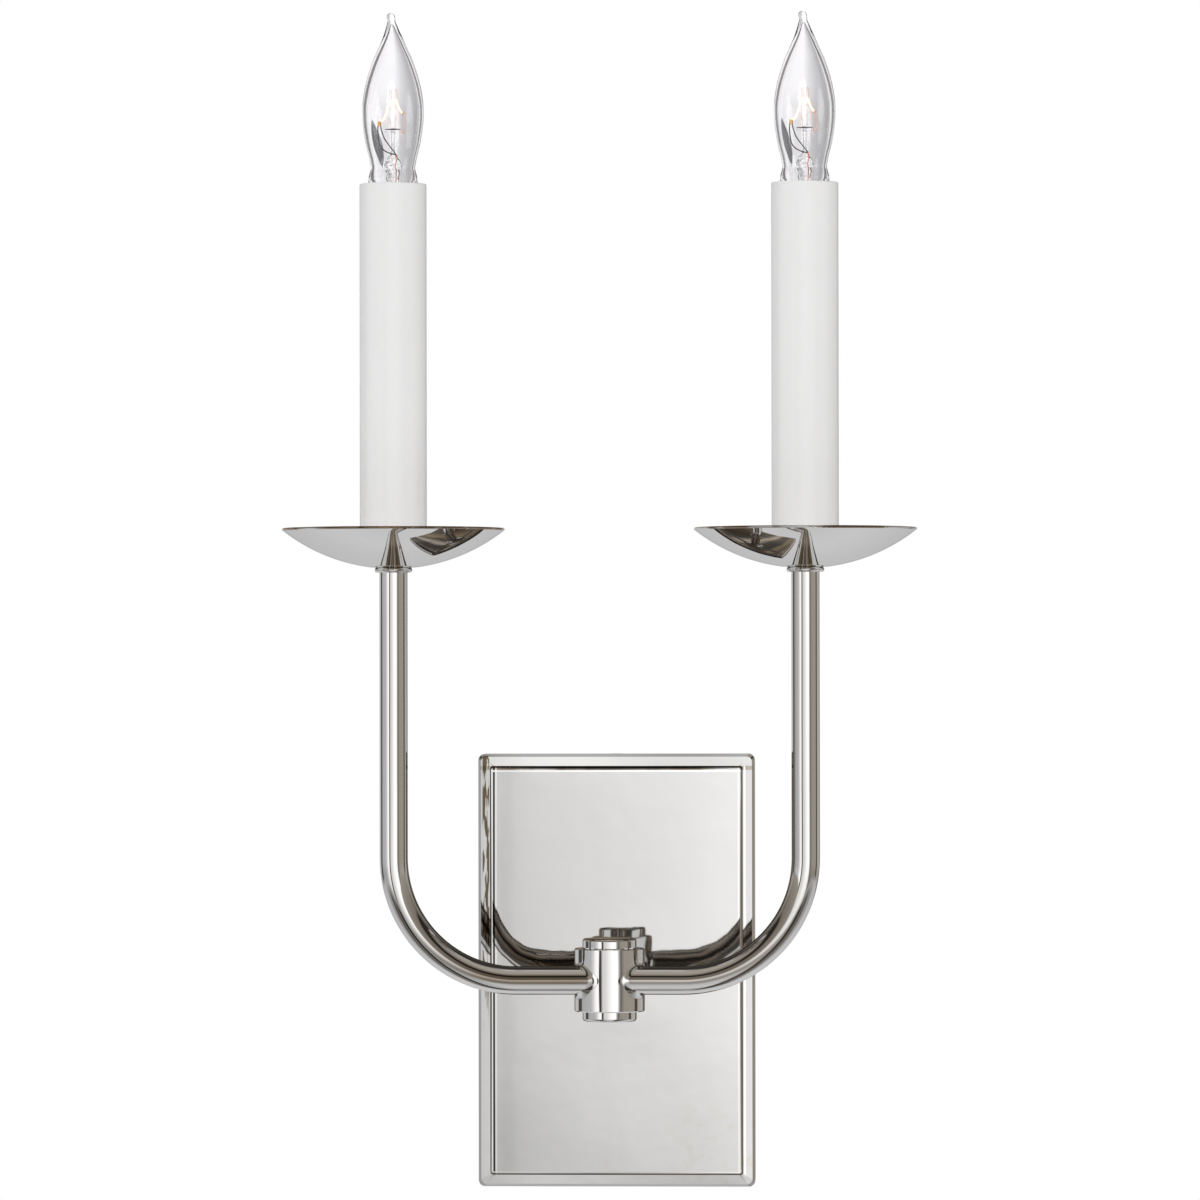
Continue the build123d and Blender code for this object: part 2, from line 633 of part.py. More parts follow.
def glass_outline(skin):
    """The flame shape from the neck to the tip, drawn in by a skin thickness."""
    low = GLASS_NECK_BOTTOM + skin
    neck_radius = GLASS_NECK_RADIUS - skin
    waist = (GLASS_WAIST[0] - skin, GLASS_WAIST[1])
    upright = (0.05, 1)
    neck = Line((neck_radius, low), (neck_radius, GLASS_NECK_TOP))
    foot = Spline(
        neck @ 1, (GLASS_FOOT[0] - skin, GLASS_FOOT[1]), waist,
        tangents=[(0.35, 1), upright],
    )
    flame = Spline(
        waist,
        (GLASS_SHOULDER[0] - skin, GLASS_SHOULDER[1]),
        (GLASS_WIDEST[0] - skin, GLASS_WIDEST[1]),
        (GLASS_TAPER[0] - skin, GLASS_TAPER[1]),
        (GLASS_POINT[0] - skin / 2, GLASS_POINT[1]),
        (GLASS_END[0] - skin / 2, GLASS_END[1] - skin),
        tangents=[upright, (-0.12, 1)],
    )
    back = Polyline(flame @ 1, (0, (flame @ 1).Y), (0, low), neck @ 0)
    return make_face([neck, foot, flame, back])


def bulb_glass(side):
    """A hollow flame-shaped envelope with a small bent tip."""
    x = arm_x(side)
    envelope = turned(side, glass_outline(0)) - turned(side, glass_outline(GLASS_SHEET))
    mouth_low = GLASS_NECK_BOTTOM - OVERCUT
    mouth_high = GLASS_NECK_BOTTOM + GLASS_SHEET + OVERCUT
    envelope -= post(x, ARM_PLANE, mouth_low, mouth_high, MOUNT_FOOT_RADIUS + 2 * SEAT_GAP)
    tip = Pos(x + GLASS_TIP_BEND, ARM_PLANE, GLASS_TIP_HEIGHT) * Sphere(GLASS_TIP_RADIUS)
    return envelope + tip


def bulb_base(side):
    """The candelabra base's metal shell, rolled in at the bottom."""
    inner = BULB_SHELL_RADIUS - BULB_SHELL_SHEET
    low = BULB_SHELL_BOTTOM
    roll = BULB_SHELL_ROLL
    outline = Polyline(
        (BULB_SHELL_RADIUS - roll, low), (BULB_SHELL_RADIUS, low + roll),
        (BULB_SHELL_RADIUS, BULB_SHELL_TOP), (inner, BULB_SHELL_TOP), (inner, low + 1.2 * roll),
        (inner - 0.8 * roll, low + 0.4 * roll), (BULB_SHELL_RADIUS - roll, low),
    )
    return turned(side, make_face(outline))


def bulb_insulator(side):
    """The glass button that keeps the tip contact apart from the shell."""
    outline = Polyline(
        (0, INSULATOR_BOTTOM), (INSULATOR_LOW_RADIUS, INSULATOR_BOTTOM),
        (INSULATOR_RADIUS, BULB_SHELL_BOTTOM + 2 * SEAT_GAP), (INSULATOR_RADIUS, INSULATOR_TOP),
        (0, INSULATOR_TOP), (0, INSULATOR_BOTTOM),
    )
    return turned(side, make_face(outline))


def bulb_tip_contact(side):
    """The round solder contact at the very bottom of the bulb."""
    low = BULB_TIP_BOTTOM
    high = low + BULB_TIP_HEIGHT
    on_crown = (0.7 * BULB_TIP_RADIUS, low + BULB_TIP_CROWN)
    crown_line = ThreePointArc((0, low), on_crown, (BULB_TIP_RADIUS, high))
    rest = Polyline((BULB_TIP_RADIUS, high), (0, high), (0, low))
    return turned(side, make_face([crown_line, rest]))


def bulb_mount(side):
    """The glass rod on its flared foot, which carries the filament."""
    outline = Polyline(
        (0, MOUNT_FOOT_BOTTOM), (MOUNT_FOOT_RADIUS, MOUNT_FOOT_BOTTOM),
        (MOUNT_FOOT_RADIUS, MOUNT_FOOT_TOP), (MOUNT_WAIST_RADIUS, MOUNT_WAIST_HEIGHT),
        (MOUNT_RADIUS, MOUNT_ROD_HEIGHT), (MOUNT_TOP_RADIUS, MOUNT_TOP), (0, MOUNT_TOP),
        (0, MOUNT_FOOT_BOTTOM),
    )
    return turned(side, make_face(outline))


def bulb_button(side):
    """The small glass bar above the mount, in which the filament hooks are set."""
    x = arm_x(side)
    stalk = post(x, ARM_PLANE, MOUNT_TOP + CONTACT_GAP, BUTTON_HEIGHT, STALK_RADIUS)
    bar = Plane(origin=(x - BUTTON_LENGTH / 2, ARM_PLANE, BUTTON_HEIGHT), z_dir=(1, 0, 0))
    return stalk + extrude(bar * Circle(BUTTON_RADIUS), BUTTON_LENGTH)


def bulb_leads(side):
    """Two stiff wires from the mount to the filament's ends."""
    x = arm_x(side)
    leads = []
    for way, end_height in FILAMENT_ENDS.items():
        near = x + way * LEAD_OFFSET
        far = x + way * FILAMENT_SPREAD
        points = [
            (near, ARM_PLANE, LEAD_BOTTOM),
            (near, ARM_PLANE, LEAD_KNEE),
            (far, ARM_PLANE, LEAD_ELBOW),
            (far, ARM_PLANE, end_height - LEAD_TIP_GAP),
        ]
        leads.append(tube_along(points, LEAD_BENDS, LEAD_RADIUS))
    return Compound(children=leads)


def bulb_filament(side):
    """The coiled wire as one thin rod, bent over its hook in an upturned V."""
    x = arm_x(side)
    points = [
        (x - FILAMENT_SPREAD, ARM_PLANE, FILAMENT_ENDS[-1]),
        (x, ARM_PLANE, FILAMENT_PEAK),
        (x + FILAMENT_SPREAD, ARM_PLANE, FILAMENT_ENDS[1]),
    ]
    return tube_along(points, [FILAMENT_BEND], FILAMENT_RADIUS)


def bulb_hook(side):
    """The fine support wire under the filament's peak."""
    low = BUTTON_HEIGHT + BUTTON_RADIUS + THREAD_GAP
    return post(arm_x(side), ARM_PLANE, low, FILAMENT_PEAK - HOOK_GAP, HOOK_RADIUS)


# ---------------------------------------------------------------- wires


def connector_depth():
    """The connectors hang in the canopy at this depth, just behind the pipe's end."""
    return PIPE_REAR + WIRE_BEHIND_PIPE + WIRE_DROP_RADIUS


def wire(side, kind):
    """One conductor from the socket, down the arm, through the hub and stem, to its connector."""
    live = kind == "live"
    x = arm_x(side)
    y = ARM_PLANE - WIRE_OFFSET if live else ARM_PLANE + WIRE_OFFSET
    near = SIDES[side] * (WIRE_OFFSET if live else 3 * WIRE_OFFSET)
    turn = WIRE_TURN_RADIUS if live else WIRE_TURN_RADIUS - 2 * WIRE_OFFSET
    end = (CONNECTOR_START + WIRE_IN_CONNECTOR) * (-1 if live else 1)
    points = [
        (x, y, SOCKET_BOTTOM + WIRE_END_DEPTH),
        (x, y, 0),
        (near, y, 0),
        (near, connector_depth(), 0),
        (near, connector_depth(), end),
    ]
    return tube_along(points, [ARM_BEND_RADIUS, turn, WIRE_DROP_RADIUS], WIRE_RADIUS)


def wire_connector(kind):
    """A tapered twist-on cap with two wings."""
    outline = Polyline(
        (0, 0), (CONNECTOR_MOUTH_RADIUS, 0), (CONNECTOR_MOUTH_RADIUS, CONNECTOR_SKIRT),
        (CONNECTOR_TIP_RADIUS, CONNECTOR_LENGTH - CONNECTOR_TIP_BEVEL),
        (CONNECTOR_TIP_RADIUS - CONNECTOR_TIP_BEVEL, CONNECTOR_LENGTH), (0, CONNECTOR_LENGTH),
        (0, 0),
    )
    cap = revolve(Plane.XZ * make_face(outline), Axis.Z)
    wing = fillet(Box(*CONNECTOR_WING_SIZE).edges().filter_by(Axis.Y), CONNECTOR_WING_ROUND)
    for way in (-1, 1):
        cap += Pos(way * CONNECTOR_WING_REACH, 0, CONNECTOR_WING_SIZE[2] / 2 + SEAT_GAP) * wing
    cap -= post(0, 0, 0, CONNECTOR_BORE_DEPTH, CONNECTOR_BORE_RADIUS)
    cap = Pos(0, connector_depth(), CONNECTOR_START) * cap
    return mirror(cap, about=Plane.XY) if kind == "live" else cap


save(backplate(), "backplate")
save(mounting_strap(), "mounting_strap")
save(plate_grub_screws(), "plate_grub_screws")
save(ground_screw(), "ground_screw")
save(hub_body(), "hub_body")
save(hub_cap("top"), "hub_cap_top")
save(hub_cap("bottom"), "hub_cap_bottom")
save(arm_grub_screws(), "arm_grub_screws")
save(stem_tube(), "stem_tube")
save(stem_collar(), "stem_collar")
save(stem_pipe(), "stem_pipe")
save(stem_washer(), "stem_washer")
save(stem_nut(), "stem_nut")
for kind in ("live", "neutral"):
    save(wire_connector(kind), f"wire_connector_{kind}")
for side in SIDES:
    save(arm(side), f"arm_{side}")
    save(dish_ring(side), f"dish_ring_{side}")
    save(dish(side), f"dish_{side}")
    save(dish_nut(side), f"dish_nut_{side}")
    save(socket_bracket(side), f"socket_bracket_{side}")
    save(socket_rivets(side), f"socket_rivets_{side}")
    save(socket_body(side), f"socket_body_{side}")
    save(socket_shell(side), f"socket_shell_{side}")
    save(socket_contact(side), f"socket_contact_{side}")
    save(candle_cover(side), f"candle_cover_{side}")
    save(bulb_glass(side), f"bulb_glass_{side}")
    save(bulb_base(side), f"bulb_base_{side}")
    save(bulb_insulator(side), f"bulb_insulator_{side}")
    save(bulb_tip_contact(side), f"bulb_tip_contact_{side}")
    save(bulb_mount(side), f"bulb_mount_{side}")
    save(bulb_button(side), f"bulb_button_{side}")
    save(bulb_leads(side), f"bulb_leads_{side}")
    save(bulb_filament(side), f"bulb_filament_{side}")
    save(bulb_hook(side), f"bulb_hook_{side}")
    for kind in ("live", "neutral"):
        save(wire(side, kind), f"wire_{kind}_{side}")
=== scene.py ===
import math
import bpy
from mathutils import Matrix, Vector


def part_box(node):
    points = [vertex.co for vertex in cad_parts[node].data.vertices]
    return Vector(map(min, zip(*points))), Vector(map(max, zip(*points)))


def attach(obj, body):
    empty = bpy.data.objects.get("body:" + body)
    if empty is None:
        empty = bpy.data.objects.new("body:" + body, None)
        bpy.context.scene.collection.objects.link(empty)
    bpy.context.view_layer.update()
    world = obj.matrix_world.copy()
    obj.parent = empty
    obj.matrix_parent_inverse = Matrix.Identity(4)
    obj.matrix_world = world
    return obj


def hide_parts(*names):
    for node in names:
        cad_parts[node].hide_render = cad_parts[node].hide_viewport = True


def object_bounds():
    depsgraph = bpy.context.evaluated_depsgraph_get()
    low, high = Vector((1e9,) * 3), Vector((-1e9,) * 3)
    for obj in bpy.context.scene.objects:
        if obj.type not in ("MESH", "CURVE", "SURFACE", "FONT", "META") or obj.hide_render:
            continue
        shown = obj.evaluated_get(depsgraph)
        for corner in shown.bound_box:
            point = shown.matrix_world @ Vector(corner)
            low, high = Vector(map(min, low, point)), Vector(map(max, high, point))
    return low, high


bl_info = {
    "name": "Double Arm Wall Sconce",
    "version": (1, 0, 0),
    "blender": (4, 5, 0),
    "location": "View3D > Sidebar > Sconce",
    "description": "Dresses the packed wall sconce: polished nickel, candle covers, clear flame bulbs "
                   "and wiring",
    "category": "Object",
}

import bpy
from bpy.props import FloatProperty, FloatVectorProperty, IntProperty, PointerProperty
from mathutils import Matrix, Vector

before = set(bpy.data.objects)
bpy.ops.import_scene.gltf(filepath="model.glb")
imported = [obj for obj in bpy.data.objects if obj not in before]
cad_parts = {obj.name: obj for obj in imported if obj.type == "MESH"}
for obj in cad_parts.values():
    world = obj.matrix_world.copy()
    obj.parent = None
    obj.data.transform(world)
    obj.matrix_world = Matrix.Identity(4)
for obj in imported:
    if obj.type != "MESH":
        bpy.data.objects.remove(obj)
cad_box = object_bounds()

MM = 0.001
SIDES = ("left", "right")
FULL_TURN = 2 * math.pi
MARK_DEPTH = 0.1 * MM
WHITE = (1.0, 1.0, 1.0)
MIDDLE_GREY = (0.5, 0.5, 0.5, 1.0)
DUST_COLOUR = (0.55, 0.53, 0.5, 1.0)
# Second, third and fourth powers of X in the panel's own form, in metres
PANEL_TERMS = (0.7885, 2.57, -195.0)
# The plate's rim: where it starts from the middle in X and Z, its width, how much its fall is eased, and
# how softly its corners turn
RIM_INSIDE = (46.4 * MM, 75.0 * MM)
RIM_SPAN = 3.4 * MM
RIM_EASE = 0.155
RIM_BLEND = 2.5 * MM
# Sheet of the threaded shells, in millimetres
SHELL_SHEET = 0.3
# Colour, roughness, metallic, cloudy tone and its scale, marks, haze, bump and dust
FINISHES = {
    "zinc_plate": ((0.60, 0.62, 0.64), 0.30, 1.0, 0.18, 130.0, 0.14, 0.12, 0.25, 0.25),
    "screw_steel": ((0.34, 0.33, 0.32), 0.32, 1.0, 0.2, 260.0, 0.16, 0.1, 0.2),
    "ground_green": ((0.04, 0.26, 0.08), 0.38, 0.0, 0.2, 240.0, 0.12, 0.08, 0.2),
    "socket_brass": ((0.78, 0.56, 0.24), 0.22, 1.0, 0.12, 150.0, 0.12, 0.1, 0.15),
    "socket_moulding": ((0.035, 0.033, 0.032), 0.42, 0.0, 0.25, 90.0, 0.1, 0.12, 0.3, 0.4),
    "bulb_brass": ((0.80, 0.60, 0.28), 0.2, 1.0, 0.12, 150.0, 0.12, 0.1, 0.15),
    "black_glass": ((0.012, 0.012, 0.014), 0.08, 0.0, 0.3, 200.0, 0.06, 0.05, 0.1),
    "solder": ((0.55, 0.55, 0.56), 0.34, 1.0, 0.2, 500.0, 0.15, 0.15, 0.4),
    "lead_wire": ((0.09, 0.085, 0.08), 0.3, 1.0, 0.25, 600.0, 0.1, 0.1),
    "copper_wire": ((0.72, 0.24, 0.14), 0.28, 1.0, 0.25, 700.0, 0.1, 0.1),
    "clamp_painted_glow": ((0.6, 0.3, 0.08), 0.3, 1.0, 0.3, 900.0, 0.1, 0.1),
    "hook_painted_glow": ((0.62, 0.45, 0.38), 0.3, 1.0, 0.3, 900.0, 0.1, 0.1),
    "black_insulation": ((0.02, 0.02, 0.021), 0.42, 0.0, 0.2, 300.0, 0.1, 0.1, 0.15),
    "white_insulation": ((0.75, 0.74, 0.71), 0.42, 0.0, 0.06, 300.0, 0.1, 0.1, 0.15),
}
# Painted glow: how strongly the parts beside the filament glow, and in which colour, standing in for the
# filament's halo
GLOWS = {"clamp_painted_glow": (0.22, (1.0, 0.42, 0.08, 1.0)), "hook_painted_glow": (0.35, (1.0, 0.42, 0.25, 1.0))}


def arm_axis(side):
    """X and Y of the upright axis through an arm, its dish, cover and bulb."""
    low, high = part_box(f"candle_cover_{side}")
    middle = (low + high) / 2
    return middle.x, middle.y


def both(*kinds):
    """The left and right node of each kind."""
    return [f"{kind}_{side}" for kind in kinds for side in SIDES]


# ---------------------------------------------------------------- mesh makers


def rounded_line(points, steps):
    """Points along a smooth curve through the given points."""
    padded = [points[0], *points, points[-1]]
    line = []
    for a, b, c, d in zip(padded, padded[1:], padded[2:], padded[3:]):
        for step in range(steps):
            t = step / steps
            line.append(tuple(
                0.5 * (2 * q + (r - p) * t + (2 * p - 5 * q + 4 * r - s) * t**2
                       + (3 * q - p - 3 * r + s) * t**3)
                for p, q, r, s in zip(a, b, c, d)
            ))
    line.append(tuple(points[-1]))
    return line


def turned_mesh(outline, axis, segments=72, wave=None, lean=None, closed=False):
    """Turn an outline of (radius, height) in millimetres about an upright axis.

    wave(angle, height) adds to the radius and lean(height) moves a ring along X.
    """
    points, faces, rings = [], [], []
    for radius, height in outline:
        shift = lean(height) if lean else 0.0
        count = segments if radius > 1e-6 else 1
        ring = []
        for index in range(count):
            angle = FULL_TURN * index / segments
            reach = radius + (wave(angle, height) if wave else 0.0)
            ring.append(len(points))
            x = axis[0] + (shift + reach * math.cos(angle)) * MM
            y = axis[1] + reach * math.sin(angle) * MM
            points.append((x, y, height * MM))
        rings.append(ring)
    pairs = list(zip(rings, rings[1:]))
    if closed:
        pairs.append((rings[-1], rings[0]))
    for low, high in pairs:
        for index in range(segments):
            after = (index + 1) % segments
            corners = ((low, index), (low, after), (high, after), (high, index))
            face = list(dict.fromkeys(ring[place % len(ring)] for ring, place in corners))
            if len(face) > 2:
                faces.append(face)
    return points, faces


def tube_mesh(line, radius, sides=10):
    """A round bar along a line of points in millimetres, closed at both ends."""
    path = [Vector(point) for point in line]
    points, faces = [], []
    along = (path[1] - path[0]).normalized()
    across = along.orthogonal().normalized()
    for index, place in enumerate(path):
        before = path[max(index - 1, 0)]
        after = path[min(index + 1, len(path) - 1)]
        new_along = (after - before).normalized()
        across = along.rotation_difference(new_along) @ across
        along = new_along
        other = along.cross(across)
        thick = radius(index / (len(path) - 1)) if callable(radius) else radius
        for side in range(sides):
            angle = FULL_TURN * side / sides
            point = place + thick * (math.cos(angle) * across + math.sin(angle) * other)
            points.append(tuple(point * MM))
    for ring in range(len(path) - 1):
        for side in range(sides):
            after = (side + 1) % sides
            low, high = ring * sides, (ring + 1) * sides
            faces.append([low + side, low + after, high + after, high + side])
    last = (len(path) - 1) * sides
    faces.append(list(reversed(range(sides))))
    faces.append([last + side for side in range(sides)])
    return points, faces


def coil_line(line, radius, pitch, steps=8):
    """Turn a line into a helix wound round it."""
    path = [Vector(point) for point in line]
    wound, travelled = [], 0.0
    along = (path[1] - path[0]).normalized()
    across = along.orthogonal().normalized()
    for start, end in zip(path, path[1:]):
        new_along = (end - start).normalized()
        across = along.rotation_difference(new_along) @ across
        along = new_along
        length = (end - start).length
        count = max(1, round(length / pitch * steps))
        for step in range(count):
            angle = FULL_TURN * (travelled + length * step / count) / pitch
            offset = math.cos(angle) * across + math.sin(angle) * along.cross(across)
            wound.append(tuple(start.lerp(end, step / count) + radius * offset))
        travelled += length
    return wound


def thread_dip(depth, turns, angle, fade):
    """How far a rolled thread lies below the outer radius, after so many turns of its pitch."""
    return -depth * (0.5 - 0.5 * math.cos(FULL_TURN * turns - angle)) * fade


def threaded_shell(node, axis, pitch, depth, plain, start, foot, sole):
    """A thin screw shell with a rolled thread, in the place of a CAD node.

    plain is the height without thread below and above, and the run in which it fades; start is where the
    wall begins. foot and sole are the outline's lower end outside and inside, each as (radius, height above
    the bottom), where a radius below zero counts from the outer one.
    """
    low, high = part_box(node)
    bottom, top, outer = low.z / MM, high.z / MM, (high.x - low.x) / 2 / MM
    below, above, run = plain
    rows = 60

    def thread(angle, height):
        fade = max(0.0, min(1.0, (height - bottom - below) / run, (top - above - height) / run))
        return thread_dip(depth, height / pitch, angle, fade)

    def end(points):
        return [(radius if radius > 0 else outer + radius, bottom + up) for radius, up in points]

    heights = [bottom + start + (top - bottom - start) * row / rows for row in range(rows + 1)]
    wall = [(outer, height) for height in heights]
    wall += [(outer - SHELL_SHEET, height) for height in reversed(heights)]
    return turned_mesh(end(foot) + wall + end(sole), axis, segments=64, wave=thread, closed=True)


def plate_mesh(width, thickness, height, corner, middle):
    """An upright plate with rounded corners, in millimetres about its middle."""
    outline = []
    for quarter in range(4):
        x = (width / 2 - corner) * (1 if quarter in (0, 3) else -1)
        z = (height / 2 - corner) * (1 if quarter in (0, 1) else -1)
        for step in range(7):
            angle = math.pi / 2 * (quarter + step / 6)
            outline.append((x + corner * math.cos(angle), z + corner * math.sin(angle)))
    points = []
    for depth in (-thickness / 2, thickness / 2):
        points += [((middle[0] + x) * MM, (middle[1] + depth) * MM, (middle[2] + z) * MM)
                   for x, z in outline]
    count = len(outline)
    faces = [list(reversed(range(count, 2 * count))), list(range(count))]
    for index in range(count):
        after = (index + 1) % count
        faces.append([index, count + index, count + after, after])
    return points, faces


def piece(name, meshes, material, body, stands_for=(), sharp=40.0):
    """Join meshes into one named piece that rides on a body."""
    points, faces = [], []
    for part_points, part_faces in meshes:
        offset = len(points)
        points += part_points
        faces += [[corner + offset for corner in face] for face in part_faces]
    mesh = bpy.data.meshes.new(name)
    mesh.from_pydata(points, [], faces)
    if mesh.validate():
        raise RuntimeError(f"{name} has faulty faces")
    mesh.polygons.foreach_set("use_smooth", [True] * len(mesh.polygons))
    mesh.set_sharp_from_angle(angle=math.radians(sharp))
    mesh.materials.append(material)
    made = bpy.data.objects.new(name, mesh)
    bpy.context.scene.collection.objects.link(made)
    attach(made, body)
    if stands_for:
        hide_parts(*stands_for)
    return made


# ---------------------------------------------------------------- nodes and materials


class Net:
    """A node tree, with a short call for each kind of node that is used here."""

    def __init__(self, tree):
        self.tree = tree
        self.link = tree.links.new

    def add(self, kind, inputs=None, **settings):
        """Add a node, set its properties, and fill its inputs with values or links."""
        made = self.tree.nodes.new(f"ShaderNode{kind}")
        for key, value in settings.items():
            setattr(made, key, value)
        for key, value in (inputs or {}).items():
            if isinstance(value, bpy.types.NodeSocket):
                self.link(value, made.inputs[key])
            else:
                made.inputs[key].default_value = value
        return made

    def math(self, operation, *values, clamp=False):
        """A Math node's result."""
        return self.add("Math", dict(enumerate(values)), operation=operation, use_clamp=clamp).outputs[0]

    def times(self, first, *others):
        """The product of all values."""
        for other in others:
            first = self.math("MULTIPLY", first, other)
        return first

    def mix(self, factor, first, second, mode="MIX"):
        """A colour Mix node's result."""
        inputs = {0: factor, 6: first, 7: second}
        return self.add("Mix", inputs, data_type="RGBA", blend_type=mode).outputs[2]

    def tint(self, mask, base, tone):
        """A colour multiplied by a tone where a mask says so."""
        return self.mix(mask, base, self.mix(1.0, base, tone, "MULTIPLY"))

    def ramp(self, factor, stops):
        """A Color Ramp through (position, colour) stops."""
        made = self.add("ValToRGB", {"Fac": factor})
        ends = made.color_ramp.elements
        for end, (position, colour) in ((ends[0], stops[0]), (ends[1], stops[-1])):
            end.position, end.color = position, colour
        for position, colour in stops[1:-1]:
            ends.new(position).color = colour
        return made.outputs["Color"]

    def step(self, value, low, high):
        """A smooth 0 to 1 step of a value between two limits."""
        limits = {"Value": value, "From Min": low, "From Max": high}
        return self.add("MapRange", limits, interpolation_type="SMOOTHSTEP").outputs[0]

    def split(self, vector):
        """A vector's X, Y and Z."""
        return self.add("SeparateXYZ", {"Vector": vector}).outputs

    def place(self):
        """X, Y and Z of the place on the surface."""
        return self.split(self.add("TexCoord").outputs["Object"])

    def normal_z(self):
        """How far the surface faces up."""
        return self.split(self.add("NewGeometry").outputs["Normal"])["Z"]

    def noise(self, scale, detail, stretch=WHITE, **more):
        """Noise over the surface, stretched along the axes."""
        place = self.add("TexCoord").outputs["Object"]
        place = self.add("Mapping", {"Vector": place, "Scale": stretch}).outputs[0]
        made = self.add("TexNoise", {"Vector": place, "Scale": scale, "Detail": detail, **more})
        return made.outputs["Fac"]

    def group(self, name, **inputs):
        """Place a shared group, made at its first use, with its own values."""
        made = self.add("Group")
        made.node_tree = bpy.data.node_groups.get(name) or shared_group(name, *GROUPS[name])
        set_inputs(made, **inputs)
        return made.outputs


def set_inputs(node, **values):
    """Set a node's inputs by name, with an underscore for each space."""
    for label, value in values.items():
        node.inputs[label.replace("_", " ")].default_value = value


def shared_group(name, build, inputs, outputs):
    """Make a shader node group with named sockets, which many materials use."""
    group = bpy.data.node_groups.new(name, "ShaderNodeTree")
    for label, default in inputs.items():
        kind = "NodeSocketColor" if isinstance(default, tuple) else "NodeSocketFloat"
        group.interface.new_socket(label, in_out="INPUT", socket_type=kind).default_value = default
    for label in outputs:
        kind = "NodeSocketColor" if label == "Color" else "NodeSocketFloat"
        group.interface.new_socket(label, in_out="OUTPUT", socket_type=kind)
    source, target = group.nodes.new("NodeGroupInput"), group.nodes.new("NodeGroupOutput")
    for label, socket in build(Net(group), source.outputs).items():
        group.links.new(socket, target.inputs[label])
    return group


def cloudy_tone(net, given):
    """Slow cloudy variation between two colours, with a matching mask."""
    mask = net.step(net.noise(given["Scale"], 4.0, Roughness=0.55), 0.35, 0.65)
    return {"Mask": mask, "Color": net.mix(mask, given["Colour A"], given["Colour B"])}


def hairline_wear(net, given):
    """Hairline marks and haze that vary roughness, with a height for bump."""
    fine = net.noise(given["Scale"], 3.0, (1.0, 1.0, 0.06))
    cross = net.noise(given["Scale"], 3.0, (0.08, 1.0, 1.0))
    marks = net.step(net.math("MAXIMUM", fine, cross), 0.62, 0.78)
    soft = net.step(net.noise(35.0, 3.0), 0.4, 0.75)
    worn = net.math("ADD", net.times(marks, given["Marks"]), net.times(soft, given["Haze"]))
    return {"Roughness": net.math("ADD", worn, given["Roughness"], clamp=True), "Height": marks}


def polish_waves(net, given):
    """The slow unevenness that hand polishing leaves in sheet metal, as a height in metres."""
    slow = net.noise(given["Scale"], 0.0)
    quick = net.noise(net.times(given["Scale"], 4.3), 1.0)
    return {"Height": net.times(net.math("MULTIPLY_ADD", quick, given["Ripple"], slow), given["Depth"])}


def settled_dust(net, given):
    """A mask of fine dust that settles on what faces up."""
    specks = net.times(net.step(net.normal_z(), 0.55, 1.0), net.step(net.noise(1400.0, 2.0), 0.5, 0.8))
    mask = net.times(specks, net.noise(50.0, 2.0))
    return {"Mask": net.math("MULTIPLY", mask, given["Amount"], clamp=True)}


# What makes each shared group, its inputs with their defaults, and its outputs
GROUPS = {
    "Cloudy tone": (cloudy_tone, {"Scale": 60.0, "Colour A": MIDDLE_GREY, "Colour B": MIDDLE_GREY},
                    ("Mask", "Color")),
    "Hairline wear": (hairline_wear, {"Scale": 900.0, "Roughness": 0.05, "Marks": 0.05, "Haze": 0.03},
                      ("Roughness", "Height")),
    "Polish waves": (polish_waves, {"Scale": 25.0, "Depth": 0.0003, "Ripple": 0.12}, ("Height",)),
    "Settled dust": (settled_dust, {"Amount": 0.3}, ("Mask",)),
}


def with_alpha(colour, factor=1.0):
    """A colour as four numbers, made darker or lighter by a factor."""
    return (colour[0] * factor, colour[1] * factor, colour[2] * factor, 1.0)


def plain_material(name):
    """A node material with only its shader."""
    made = bpy.data.materials.new(name)
    made.use_nodes = True
    return made, Net(made.node_tree), made.node_tree.nodes["Principled BSDF"]


def finish(name, colour, roughness, metallic=0.0, tone=0.06, tone_scale=60.0, marks=0.05, haze=0.03,
           bump=0.0, dust=0.0, scale=900.0, waves=0.0, form=None, **shader_values):
    """A finish with cloudy tone, hairline wear, a little bump and settled dust.

    waves is the depth of the polishing waves, and form adds a height of its own, both in metres.
    """
    made, net, shader = plain_material(name)
    set_inputs(shader, Metallic=metallic, **shader_values)
    base = net.group("Cloudy tone", Scale=tone_scale, Colour_A=with_alpha(colour, 1 - tone),
                     Colour_B=with_alpha(colour, 1 + tone / 2))["Color"]
    wear = net.group("Hairline wear", Scale=scale, Roughness=roughness, Marks=marks, Haze=haze)
    rough = wear["Roughness"]
    if dust:
        settled = net.group("Settled dust", Amount=dust)["Mask"]
        base = net.mix(settled, base, DUST_COLOUR)
        rough = net.math("ADD", rough, net.times(settled, 0.5), clamp=True)
    net.link(base, shader.inputs["Base Color"])
    net.link(rough, shader.inputs["Roughness"])
    heights = []
    if bump:
        heights.append(net.times(wear["Height"], bump * MARK_DEPTH))
    if waves:
        heights.append(net.group("Polish waves", Depth=waves)["Height"])
    if form:
        heights.append(form(net))
    if heights:
        height = heights[0]
        for other in heights[1:]:
            height = net.math("ADD", height, other)
        relief = net.add("Bump", {"Strength": 1.0, "Distance": 1.0, "Height": height})
        net.link(relief.outputs[0], shader.inputs["Normal"])
    return made


def listed_finish(name, **shader_values):
    """A finish from the list at the top."""
    return finish(name, *FINISHES[name], **shader_values)


def base_colour(material):
    """A finished material's net, its shader's colour socket, and the colour that feeds it."""
    socket = material.node_tree.nodes["Principled BSDF"].inputs["Base Color"]
    return Net(material.node_tree), socket, socket.links[0].from_socket


